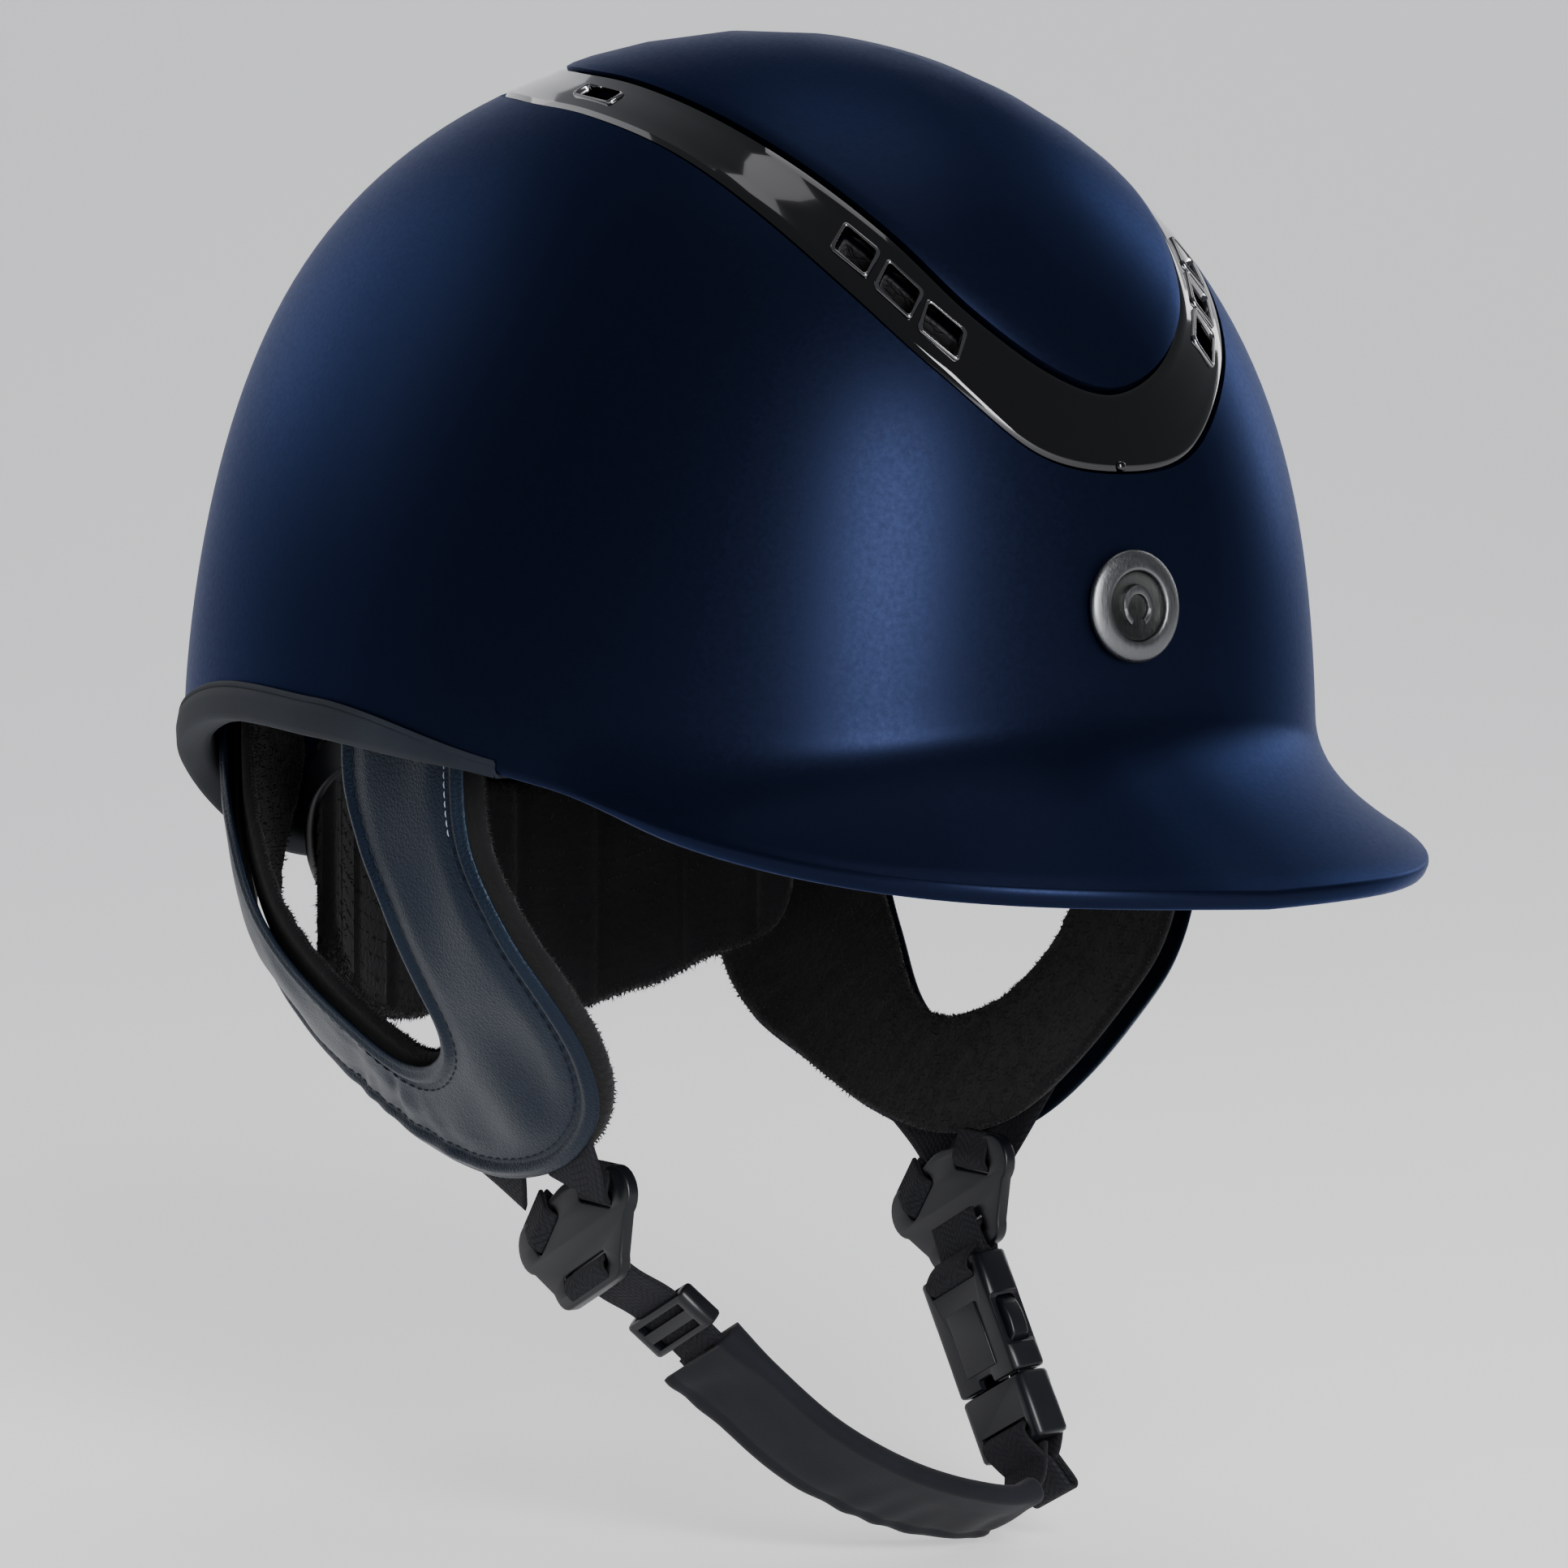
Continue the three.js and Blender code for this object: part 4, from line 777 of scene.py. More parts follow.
# ---- Edge pieces ---
def rim_edging():
    """Binding round the lower edge behind the ears, with a rolled lower bead and a seam along its top."""
    angles = np.linspace(RIM_START, 360 - RIM_START, 300)
    turn = turn_of(angles)
    tall = 2.2 + (RIM_HEIGHT - 2.2) * smooth(turn, RIM_START, RIM_START + 22)
    skin = RIM_SKIN * (0.15 + 0.85 * smooth(turn, RIM_START, RIM_START + 14))[:, None]
    foot = shell(angles, 0 * angles)
    out = unit(offset(shell, angles, 0 * angles, np.ones(len(angles))) - foot)
    up = unit(shell(angles, 0 * angles + 0.06) - foot)

    def at(sideways, rise):
        rise = np.broadcast_to(np.asarray(rise, float), angles.shape)
        distance = np.broadcast_to(np.asarray(sideways, float).reshape(-1), angles.shape)
        above = offset(shell, angles, np.maximum(rise, 0) / (1.3 * FLARE_RISE), distance)
        below = foot + out * distance[:, None] + up * rise[:, None]
        return np.where((rise > 0)[:, None], above, below)

    inside = -SHELL_THICKNESS - GAP
    down = -LIP_ROUNDING - GAP
    thin = skin[:, 0]
    close = GAP * 0.5 + thin * 0.15
    rows = [at(close - 0.3, tall - 1.0), at(close + thin * 0.4, tall + 0.1),
            at(close + thin * 0.75, tall - 0.3),
            at(close + thin * 0.8, tall - 0.9), at(close + thin * 0.55, tall - 1.25),
            at(close + thin * 0.9, tall - 1.8),
            at(close + thin * 1.12, tall * 0.45 - 0.4), at(close + thin, down + 0.4),
            at(close + thin * 0.6, down - thin * 0.65), at(close - 0.6, down - thin),
            at(inside + 0.8, down - thin),
            at(inside - thin * 0.6, down - thin * 0.6), at(inside - thin, down + 0.6),
            at(inside - thin, tall - 0.5),
            at(inside - 0.2, tall), at(inside + 0.2, down + 0.3), at(0.2, down + 0.1)]
    ring = np.stack(rows, 1)
    made = ring_solid("rim_edging_binding", ring, False)
    mark_sharp(made, 60)
    finish_piece(made, EDGING, "helmet", ["rim_edging"])


def panel_solid(name, surface, us, v_of, outside, inside, quilting=None, edge=0.0):
    """Padded panel on a surface.

    v_of(u) gives its rows, outside and inside are distances, and edge rounds its border.
    """
    vs = np.stack([v_of(u) for u in us])
    grid = np.broadcast_to(np.asarray(us, float)[:, None], vs.shape)
    rows, cols = vs.shape
    i = np.linspace(0, 1, rows)[:, None]
    j = np.linspace(0, 1, cols)[None, :]
    border = np.minimum(np.minimum(i, 1 - i) * rows, np.minimum(j, 1 - j) * cols)
    full = np.clip(border / max(edge, 1e-6), 0, 1) if edge else np.ones(vs.shape)
    full = np.sqrt(1 - (1 - full) ** 2)
    middle = (outside + inside) / 2
    top = middle + (outside - middle) * full
    low = middle + (inside - middle) * full
    if quilting is not None:
        low = low + quilting(i, j)
    a = offset(surface, grid, vs, top, 0.5, 0.5 if vs.max() > 3 else 0.01)
    b = offset(surface, grid, vs, low, 0.5, 0.5 if vs.max() > 3 else 0.01)
    points = np.concatenate([a.reshape(-1, 3), b.reshape(-1, 3)])
    faces = grid_faces(rows, cols)
    base = rows * cols
    faces += [tuple(base + k for k in f[::-1]) for f in grid_faces(rows, cols)]
    border_line = ([(0, c) for c in range(cols)] + [(r, cols - 1) for r in range(1, rows)]
                   + [(rows - 1, c) for c in range(cols - 2, -1, -1)]
                   + [(r, 0) for r in range(rows - 2, 0, -1)])
    ids = [r * cols + c for r, c in border_line]
    for k in range(len(ids)):
        p, q = ids[k], ids[(k + 1) % len(ids)]
        faces.append((p, q, base + q, base + p))
    return mesh_object(name, points, faces)


def peak_lining():
    us = np.linspace(-54, 54, 100)
    inside = -SHELL_THICKNESS - 0.5
    made = panel_solid("peak_lining_felt", shell, us, lambda u: np.linspace(0.07, 0.85, 24), inside,
                       inside - 1.2, edge=2)
    finish_piece(made, FLEECE, "helmet", ["peak_lining"])


# ---- Liner and pads ---
LINER_LOW = [(0, 14), (50, 18), (70, 30), (100, 36), (125, 33), (140, 30), (163, 29), (180, 14)]
LINER_OUT, LINER_IN = -5.4, -26.4
COMFORT_OUT, COMFORT_THICKNESS, COMFORT_LOW = -28.4, 1.6, 46
PAD_OUT, PAD_THICKNESS = -31.6, 6.0


def dome(name, low_at, outside, inside, lip):
    """Bowl that follows the shell's body, from a lower line up to the crown, with a rounded lower edge."""
    angles = np.arange(0, 360, 3.0)
    low = low_at(angles)
    start = np.arcsin(low / CROWN_HEIGHT)
    share = np.linspace(0, 1, 30)
    heights = CROWN_HEIGHT * np.sin(start[:, None] + (np.pi / 2 - start[:, None]) * share[None, :])
    u = np.broadcast_to(angles[:, None], heights.shape)
    pole = np.array([0, 0, CROWN_HEIGHT])

    def rows(distance):
        face = offset(body, u[:, :-1], heights[:, :-1], np.full(heights[:, :-1].shape, distance), 0.5, 1.0)
        top = np.broadcast_to(pole + np.array([0, 0, distance]), (len(angles), 1, 3))
        return np.concatenate([face, top], 1)

    half = (outside - inside) / 2
    rounded = []
    for a in np.radians(np.linspace(-90, 90, 11)[1:-1]):
        face = offset(body, angles, low, np.full(len(angles), (outside + inside) / 2 + half * math.sin(-a)),
                      0.5, 1.0)
        rounded.append(face + np.array([0, 0, -lip * math.cos(a)]))
    rings = np.concatenate([rows(outside)[:, ::-1], np.stack(rounded, 1), rows(inside)], axis=1)
    return ring_solid(name, rings, True)


def liners():
    impact = dome("impact_liner_foam", lambda a: through(LINER_LOW, turn_of(a)), LINER_OUT, LINER_IN, 0.5)
    cut_with(impact, window_tools())
    mark_sharp(impact, 40)
    finish_piece(impact, FOAM, "helmet", ["impact_liner"])
    comfort = dome("comfort_liner_fabric", lambda a: 0 * a + COMFORT_LOW, COMFORT_OUT,
                   COMFORT_OUT - COMFORT_THICKNESS, 0.6)
    finish_piece(comfort, SPACER, "helmet", ["comfort_liner"])


def quilted(columns, rows_, depth):
    """Seams that draw a pad's face in along a grid of stitch lines."""
    def at(i, j):
        a = np.abs(((i * columns) + 0.5) % 1 - 0.5)
        b = np.abs(((j * rows_) + 0.5) % 1 - 0.5)
        line = np.minimum(a / columns * 60, b / rows_ * 40)
        inner = (i > 0.02) & (i < 0.98) & (j > 0.04) & (j < 0.96)
        return np.where(inner, depth * np.exp(-(line ** 2) * 1.2), 0)
    return at


def pads():
    def rows(low, high):
        return lambda u: np.linspace(low, high, 40)

    brow_out = LINER_IN - 0.6
    brow = panel_solid("brow_pad_padding", body, np.linspace(-50, 50, 120), rows(4, 40), brow_out,
                       brow_out - PAD_THICKNESS,
                       quilted(8, 1, 1.6), 5)
    crown = panel_solid("crown_pad_padding", body, np.linspace(-90, 90, 120), rows(128, 152), PAD_OUT,
                        PAD_OUT - PAD_THICKNESS, quilted(6, 1, 1.4), 5)
    made = [("brow_pad", brow), ("crown_pad", crown)]
    for side, low, high in (("left", 58, 122), ("right", 238, 302)):
        pad = panel_solid(f"side_pad_{side}_padding", body, np.linspace(low, high, 90), rows(54, 96), PAD_OUT,
                          PAD_OUT - PAD_THICKNESS, quilted(4, 2, 1.5), 5)
        made.append((f"side_pad_{side}", pad))
    for node, pad in made:
        finish_piece(pad, SPACER, "helmet", [node])


# ---- Nape cradle ---
CRADLE_HALF = [(-75, -2, 14), (-75, 22, 13), (-74, 45, 9), (-69, 68, 0), (-56, 90, -14), (-32, 107, -26)]
CRADLE_LINE = CRADLE_HALF + [(0, 113, -30)] + [(-x, y, z) for x, y, z in reversed(CRADLE_HALF)]
CRADLE_HEIGHTS = [(0, 10), (0.25, 10), (0.36, 22), (0.5, 34), (0.64, 22), (0.75, 10), (1, 10)]
CRADLE_THICKNESS, NAPE_PAD_THICKNESS, NAPE_PAD_START = 2.4, 8.0, 0.22
DIAL_CENTRE, DIAL_RADIUS, DIAL_DEPTH = (0, 113.4, -36), 15.0, 8.0


def by_length(points, shares, fine=2000):
    """Points and directions at shares of a curve's length."""
    t = np.linspace(0, 1, fine)
    p = catmull(points, t)
    run = np.concatenate([[0], np.cumsum(np.linalg.norm(np.diff(p, axis=0), axis=1))])
    at = np.interp(np.asarray(shares) * run[-1], run, t)
    here = catmull(points, at)
    ahead, behind = catmull(points, np.minimum(at + 0.001, 1)), catmull(points, np.maximum(at - 0.001, 0))
    return here, unit(ahead - behind)


def cradle_frame(shares):
    here, run = by_length(CRADLE_LINE, shares)
    out = unit(np.stack([run[:, 1], -run[:, 0], 0 * run[:, 0]], 1))
    flip = np.sum(out[:, :2] * here[:, :2], 1) < 0
    out[flip] *= -1
    return here, out


def rounded_bar_profile(steps=8):
    """Unit cross-section of a flat bar: (share of height from -0.5 to 0.5, share of thickness 0 to 1)."""
    top = [(0.5 - 0.05 * (1 - math.cos(a)), 0.5 + 0.5 * math.sin(a))
           for a in np.linspace(0, math.pi / 2, steps)]
    face = [(h, 1.0) for h in np.linspace(0.42, -0.42, 12)]
    low = [(-0.5 + 0.05 * (1 - math.cos(a)), 0.5 + 0.5 * math.sin(a))
           for a in np.linspace(math.pi / 2, 0, steps)]
    front = top + face + low
    back = [(h, 1 - t) for h, t in front[::-1]]
    return front + back[1:-1]


def cradle():
    shares = np.linspace(0, 1, 160)
    here, out = cradle_frame(shares)
    heights = through(CRADLE_HEIGHTS, shares)
    rings = [[here[i] + out[i] * (t - 1) * CRADLE_THICKNESS + np.array([0, 0, h * heights[i]])
              for h, t in rounded_bar_profile()] for i in range(len(shares))]
    band = ring_solid("nape_cradle_band", rings, False)
    mark_sharp(band, 45)
    finish_piece(band, PLASTIC, "cradle", ["nape_cradle"])


def nape_pad():
    """Thick fleece pad across the nape, quilted and softly uneven."""
    shares = np.linspace(NAPE_PAD_START, 1 - NAPE_PAD_START, 150)
    here, out = cradle_frame(shares)
    points = []
    profile = rounded_bar_profile(10)
    for i, s in enumerate(shares):
        edge = abs(s - 0.5) / (0.5 - NAPE_PAD_START)
        height = 54 + (50 - 54) * min(edge, 1) ** 2
        thick = NAPE_PAD_THICKNESS + (4 - NAPE_PAD_THICKNESS) * min(edge, 1) ** 4
        end = math.sqrt(max(1 - max((edge - 0.92) / 0.08, 0) ** 2, 0.05))
        drop = 12 * edge
        for h, t in profile:
            sag = 0.7 * math.sin(31 * s + 2.1 * h) * (h < 0) + 0.5 * math.sin(83 * s)
            seam = 1.6 * math.exp(-(((s * 14) % 1 - 0.5) / 0.07) ** 2) * (t < 0.5)
            depth = -CRADLE_THICKNESS - GAP - (1 - t) * (thick - seam) * (0.5 + 0.5 * end)
            points.append(here[i] + out[i] * depth
                          + np.array([0, 0, h * height * (0.6 + 0.4 * end) - drop + sag * (h < -0.3)]))
    rings = np.array(points).reshape(len(shares), len(profile), 3)
    made = ring_solid("nape_pad_fleece", rings, False)
    finish_piece(made, FLEECE, "cradle", ["nape_pad"])
    return rings


def dial():
    """Oval plate and the grip wheel that turns on it."""
    at = np.array(DIAL_CENTRE, float)
    points = []
    rim = [(0, 3.0), (0.55, 3.0), (0.86, 3.0), (0.95, 2.7), (1.0, 1.8), (1.0, 0.0), (0.0, 0.0)]
    for a in np.radians(np.arange(0, 360, 5)):
        for share, high in rim:
            points.append(at + np.array([27 * share * math.cos(a), high, 14 * share * math.sin(a)]))
    plate = mesh_object("dial_plate", points, grid_faces(72, len(rim), wrap_rows=True))
    mark_sharp(plate, 40)
    finish_piece(plate, PLASTIC, "cradle", ["dial_housing"])
    boss = lathe("dial_boss", [(0, 9.0), (2.4, 9.0), (3.0, 8.4), (3.0, 2.5)], at, (0, 1, 0), 32)
    mark_sharp(boss, 40)
    finish_piece(boss, PLASTIC, "cradle")
    front = at + np.array([0, 3.4, 0])
    grip = [(4.3, 0.0, 0), (4.3, 7.4, 0), (4.8, 7.9, 0), (9.5, 8.0, 0), (11.6, 7.4, 0), (13.3, 7.2, 0),
            (14.4, 6.6, 1),
            (14.9, 5.4, 1), (15.0, 3.6, 1), (14.9, 1.6, 1), (14.3, 0.5, 1), (13.0, 0.0, 0)]
    points = []
    for k in range(256):
        a = 2 * math.pi * k / 256
        bite = 0.5 - 0.5 * math.cos(16 * a)
        for r, h, grips in grip:
            radius = r - grips * 0.9 * bite ** 2
            points.append(front + np.array([radius * math.cos(a), h, radius * math.sin(a)]))
    wheel = mesh_object("fit_dial_wheel", points, grid_faces(256, len(grip), wrap_rows=True, wrap_cols=True))
    mark_sharp(wheel, 40)
    finish_piece(wheel, PLASTIC, "dial", ["fit_dial"])


# ---- Harness ---
HANG_WIDTH = [(-100, 52), (-82, 60), (-66, 69), (-53, 78), (-38, 89), (-24, 96), (-8, 99.2), (13, 100.2),
              (30, 99.8)]
HANG_REAR = [(-100, 86), (-80, 98), (-62, 112), (-54, 120), (-38, 127), (-26, 128), (-10, 128.4), (16, 128),
             (30, 127)]
HANG_FRONT_RATIO = 1.3
COVER_OUTER = [(-41, 20), (-40, 4), (-41, -9), (-47, -26), (-50, -43), (-43, -62), (-26, -76), (0, -82),
               (28, -78),
               (52, -69), (78, -56), (98, -34), (112, -14), (117, 2), (116, 15)]
COVER_INNER = [(0, 20), (0, 4), (-4, -9), (-9.5, -24), (-8.5, -44), (-3, -53), (4, -57), (12, -59),
               (21, -58.5),
               (31, -54), (45, -43), (57, -30), (66, -13), (78, 2), (86, 15)]
FRONT_WEB = [(-20, 20), (-21, 0), (-27, -25), (-30, -45), (-27, -62), (-24, -76), (-21, -84)]
REAR_WEB = [(101, 15), (97, 2), (88, -18), (72, -42), (50, -58), (24, -70), (6, -79), (-3, -84.5)]
ANCHORS = {"front": (-20, 25.5), "rear": (103, 22)}
SIDES = (("left", 1), ("right", -1))


def harness_sheet(way):
    """Sheet that one side of the harness lies in, by (y, z)."""
    def at(y, z):
        y, z = np.broadcast_arrays(np.asarray(y, float), np.asarray(z, float))
        width = through(HANG_WIDTH, z)
        length = np.where(y > 0, through(HANG_REAR, z), width * HANG_FRONT_RATIO)
        square = np.where(y > 0, REAR_SQUARE, FRONT_SQUARE)
        x = width * (1 - np.minimum(np.abs(y) / length, 0.995) ** square) ** (1 / square)
        return np.stack([way * x, y, z], -1)
    return at


def sheet_offset(way, y, z, distance):
    sheet = harness_sheet(way)
    along = sheet(y + 0.5, z) - sheet(y - 0.5, z)
    up = sheet(y, z + 0.5) - sheet(y, z - 0.5)
    out = unit(np.cross(along, up))
    out = out * np.where(out[..., :1] * way < 0, -1.0, 1.0)
    return sheet(y, z) + out * np.asarray(distance, float)[..., None]


def wave(x, y, seed, size):
    """Smooth pseudo-random height from a few crossing waves."""
    pick = np.random.default_rng(seed)
    total = 0
    for _ in range(6):
        angle, phase = pick.uniform(0, math.pi), pick.uniform(0, 2 * math.pi)
        length = size * pick.uniform(0.6, 1.7)
        total = total + np.sin((x * math.cos(angle) + y * math.sin(angle)) * 2 * math.pi / length + phase)
    return total / 6


def cover_edges(count):
    s = np.linspace(0, 1, count)
    return s, catmull(COVER_OUTER, s), catmull(COVER_INNER, s)


def cover_relief(s, from_outer, from_inner, y, z, seed):
    """Height of the leather over its plain sheet: rolled edges, seams, soft wrinkles and puckers."""
    edge = np.minimum(from_outer, from_inner)
    roll = 0.95 * np.exp(-((edge - 1.7) / 1.15) ** 2)
    seam = -0.55 * np.exp(-((edge - 3.7) / 0.55) ** 2)
    puff = 0.55 * smooth(edge, 3.6, 10)
    hills = 1.1 * wave(y, z, seed, 26) * smooth(edge, 4, 12)
    pucker_place = smooth(s, 0.47, 0.58) * (1 - smooth(s, 0.8, 0.9))
    fold = np.sin(s * 2 * math.pi * 23 + 3.5 * np.sin(s * 31) + 2.0 * np.sin(s * 57 + 1))
    uneven = 0.35 + 0.65 * (0.5 + 0.5 * np.sin(s * 47 + 0.6)) * (0.5 + 0.5 * np.sin(s * 19 + 2.0))
    pucker = 0.42 * fold * uneven * np.exp(-((from_outer - 5) / 8.0) ** 2)
    dents = -1.0 * np.exp(-(((s - 0.66) / 0.012) ** 2)) * smooth(edge, 3, 8)
    dents = dents - 0.8 * np.exp(-(((s - 0.60) / 0.008) ** 2)) * smooth(edge, 3, 8)
    return roll + seam + puff + hills + pucker * pucker_place + dents


def harness_cover(side, way):
    count, across = 340, 64
    s, outer, inner = cover_edges(count)
    w = 0.5 - 0.5 * np.cos(np.linspace(0, math.pi, across))
    place = outer[:, None] + (inner - outer)[:, None] * w[None, :, None]
    width = np.linalg.norm(inner - outer, axis=1)[:, None]
    from_outer, from_inner = w[None] * width, (1 - w[None]) * width
    y, z = place[..., 0], place[..., 1]
    relief = cover_relief(s[:, None], from_outer, from_inner, y, z, 11 + way)
    top = sheet_offset(way, y, z, COVER_IN + COVER_THICKNESS - 0.3 + relief * 0.9)
    low = sheet_offset(way, y, z, np.full(y.shape, COVER_IN))
    sides = []
    for a in (0.25, 0.5, 0.75):
        height = COVER_IN + (COVER_THICKNESS - 0.3) * a
        swelling = 0.75 * math.sin(math.pi * a)
        for edge, sign in ((0, -1), (-1, 1)):
            step = unit(inner - outer) * sign * swelling
            p = place[:, edge] + step
            sides.append((edge, a, sheet_offset(way, p[:, 0], p[:, 1], np.full(count, height))))
    at_inner = [x[2] for x in sorted((x for x in sides if x[0] == -1), key=lambda x: -x[1])]
    at_outer = [x[2] for x in sorted((x for x in sides if x[0] == 0), key=lambda x: x[1])]
    rings = np.concatenate([top, np.stack(at_inner, 1), low[:, ::-1], np.stack(at_outer, 1)], axis=1)
    made = ring_solid(f"harness_cover_{side}_leather", rings, False)
    finish_piece(made, LEATHER, "helmet", [f"harness_cover_{side}"])


def stitched_line(name, points, normals, material, body_name="helmet", length=2.3, gap=0.75,
                  radius=0.21):
    """Row of stitches laid on a line of points, each a short rounded thread that dips at its ends."""
    points, normals = np.asarray(points, float), np.asarray(normals, float)
    run = np.concatenate([[0], np.cumsum(np.linalg.norm(np.diff(points, axis=0), axis=1))])
    made, faces = [], []
    for i in range(int(run[-1] // (length + gap))):
        start = i * (length + gap)
        base = len(made)
        for k in range(5):
            t = k / 4
            at = start + t * length
            p = np.array([np.interp(at, run, points[:, c]) for c in range(3)])
            n = unit(np.array([np.interp(at, run, normals[:, c]) for c in range(3)]))
            q = np.array([np.interp(min(at + 0.3, run[-1]), run, points[:, c]) for c in range(3)])
            side = unit(np.cross(n, unit(q - p + 1e-9)))
            rise = 0.16 * math.sin(math.pi * t) - 0.1
            size = radius * (0.55 + 0.45 * math.sin(math.pi * t))
            for a in np.radians(np.arange(0, 360, 60)):
                made.append(p + n * (rise + size * math.sin(a)) + side * size * math.cos(a))
        faces += [tuple(base + v for v in f) for f in grid_faces(5, 6, wrap_cols=True)]
    return finish_piece(mesh_object(name, made, faces), material, body_name)


def cover_stitching(side, way):
    """Seams beside both rolled edges; the top of the front one is in paler thread."""
    s, outer, inner = cover_edges(500)
    width = np.linalg.norm(inner - outer, axis=1)
    for label, inset in (("outer", 4.6), ("inner", -4.6)):
        start = outer if inset > 0 else inner
        direction = unit(inner - outer)
        place = start + direction * inset
        relief = cover_relief(s, np.full(500, 4.6) if inset > 0 else width - 4.6,
                              width - 4.6 if inset > 0 else np.full(500, 4.6), place[:, 0], place[:, 1],
                              11 + way)
        line = sheet_offset(way, place[:, 0], place[:, 1], COVER_IN + COVER_THICKNESS - 0.3 + relief * 0.9)
        above = sheet_offset(way, place[:, 0], place[:, 1], COVER_IN + COVER_THICKNESS + 0.7 + relief * 0.9)
        split = 70 if label == "outer" else 0
        if split:
            stitched_line(f"cover_stitch_pale_{side}", line[16:split + 1], unit(above - line)[16:split + 1],
                          THREAD_LIGHT,
                          length=1.5, gap=0.5, radius=0.15)
        stitched_line(f"cover_stitch_{label}_{side}", line[split:-8], unit(above - line)[split:-8],
                      THREAD_DARK)


def fibres(name, roots, directions, length, material, body_name, width=0.16, seed=3):
    """Short loose fibres: one bent sliver per root."""
    pick = np.random.default_rng(seed)
    count = len(roots)
    roots = np.asarray(roots, float)
    lean = unit(np.asarray(directions, float) + pick.normal(0, 0.55, (count, 3)))
    size = length * pick.uniform(0.4, 1.15, (count, 1))
    side = unit(np.cross(lean, pick.normal(0, 1, (count, 3)))) * width
    bend = pick.normal(0, 0.25, (count, 3)) * size
    middle = roots + lean * size * 0.55 + bend * 0.4
    tip = roots + lean * size + bend
    points = np.stack([roots - side, roots + side, middle + side * 0.6, middle - side * 0.6, tip],
                      1).reshape(-1, 3)
    faces = []
    for i in range(count):
        b = 5 * i
        faces += [(b, b + 1, b + 2, b + 3), (b + 3, b + 2, b + 4)]
    made = bpy.data.meshes.new(name)
    made.from_pydata((points * MM).tolist(), [], faces)
    obj = bpy.data.objects.new(name, made)
    scene.collection.objects.link(obj)
    return finish_piece(obj, material, body_name)


def harness_lining(side, way):
    """Fleece lining, a little wider than the leather, with a loose pile along its edges and face."""
    count, across, spread = 260, 40, 0.03
    _, outer, inner = cover_edges(count)
    w = -spread + (1 + 2 * spread) * (0.5 - 0.5 * np.cos(np.linspace(0, math.pi, across)))
    place = outer[:, None] + (inner - outer)[:, None] * w[None, :, None]
    y, z = place[..., 0], place[..., 1]
    border = np.minimum(w + spread, 1 + spread - w)[None, :] * 50
    round_off = np.sqrt(1 - (1 - np.clip(border / 2.5, 0, 1)) ** 2)
    pile = 0.3 * wave(y, z, 23, 5) + 0.35 * wave(y, z, 29, 17)
    middle = LINING_OUT - LINING_THICKNESS / 2
    top = sheet_offset(way, y, z, middle + (LINING_THICKNESS / 2) * round_off)
    low = sheet_offset(way, y, z, middle - (LINING_THICKNESS / 2 + pile) * round_off)
    rings = np.concatenate([top[:, 1:-1], low[:, ::-1]], axis=1)
    made = ring_solid(f"harness_lining_{side}_fleece", rings, False)
    finish_piece(made, FLEECE, "helmet", [f"harness_lining_{side}"])
    pick = np.random.default_rng(40 + way)
    number = 9000
    i, j = pick.integers(2, count - 2, number), pick.integers(0, across, number)
    roots, away = low[i, j], unit(low[i, j] - top[i, j] + 1e-6)
    edge_number = 3200
    k = pick.integers(2, count - 2, edge_number)
    choose = pick.integers(0, 2, edge_number)
    edge_roots = np.where(choose[:, None] == 0, low[k, 1], low[k, -2])
    flat = unit((inner - outer)[k]) * np.where(choose[:, None] == 0, -1, 1)
    edge_away = np.stack([0 * flat[:, 0], flat[:, 0], flat[:, 1]], 1)
    fibres(f"harness_pile_{side}", np.concatenate([roots, edge_roots]),
           np.concatenate([away, edge_away * 1.5]), 0.95,
           FUZZ, "helmet", seed=50 + way)


def strap_solid(name, centres, across, normals, width, thickness, distances, rounding=0.35):
    """Flat woven strap with rounded edges. centres, across and normals are per station; UV in millimetres."""
    half, edge = width / 2, thickness / 2
    profile = [(x, edge) for x in np.linspace(-half + rounding, half - rounding, 11)]
    profile += [(half, 0.0)]
    profile += [(x, -edge) for x in np.linspace(half - rounding, -half + rounding, 11)]
    profile += [(-half, 0.0)]
    rings, uv = [], []
    for c, a, n, d in zip(centres, across, normals, distances):
        rings.append([c + a * x + n * h for x, h in profile])
        uv.append([(x + (40 if h < 0 else 0), d) for x, h in profile])
    return ring_solid(name, rings, False, uv)


def leg_webbing(side, way, label, line):
    t = np.linspace(0, 1, 120)
    p = catmull(line, t)
    run = unit(catmull(line, np.minimum(t + 0.003, 1)) - catmull(line, np.maximum(t - 0.003, 0)))
    half = WEBBING_WIDTH / 2
    count = 13
    rows = []
    for k in np.linspace(-1, 1, count):
        rows.append((p[:, 0] + run[:, 1] * half * k, p[:, 1] - run[:, 0] * half * k))
    top = [sheet_offset(way, y, z, np.full(120, WEBBING_THICKNESS / 2 if 0 < i < count - 1 else 0.1))
           for i, (y, z) in enumerate(rows)]
    low = [sheet_offset(way, y, z, np.full(120, -WEBBING_THICKNESS / 2 if 0 < i < count - 1 else -0.1))
           for i, (y, z) in enumerate(rows)]
    rings = np.concatenate([np.stack(top, 1), np.stack(low, 1)[:, ::-1]], axis=1)
    length = np.concatenate([[0], np.cumsum(np.linalg.norm(np.diff(p, axis=0), axis=1))])
    wide = np.concatenate([np.linspace(-half, half, count), np.linspace(half, -half, count) + 40])
    uv = np.stack(np.broadcast_arrays(wide[None, :], length[:, None]), -1)
    made = ring_solid(f"webbing_{label}_{side}_weave", rings, False, uv)
    finish_piece(made, WEAVE, "helmet", [f"webbing_{label}_{side}"])


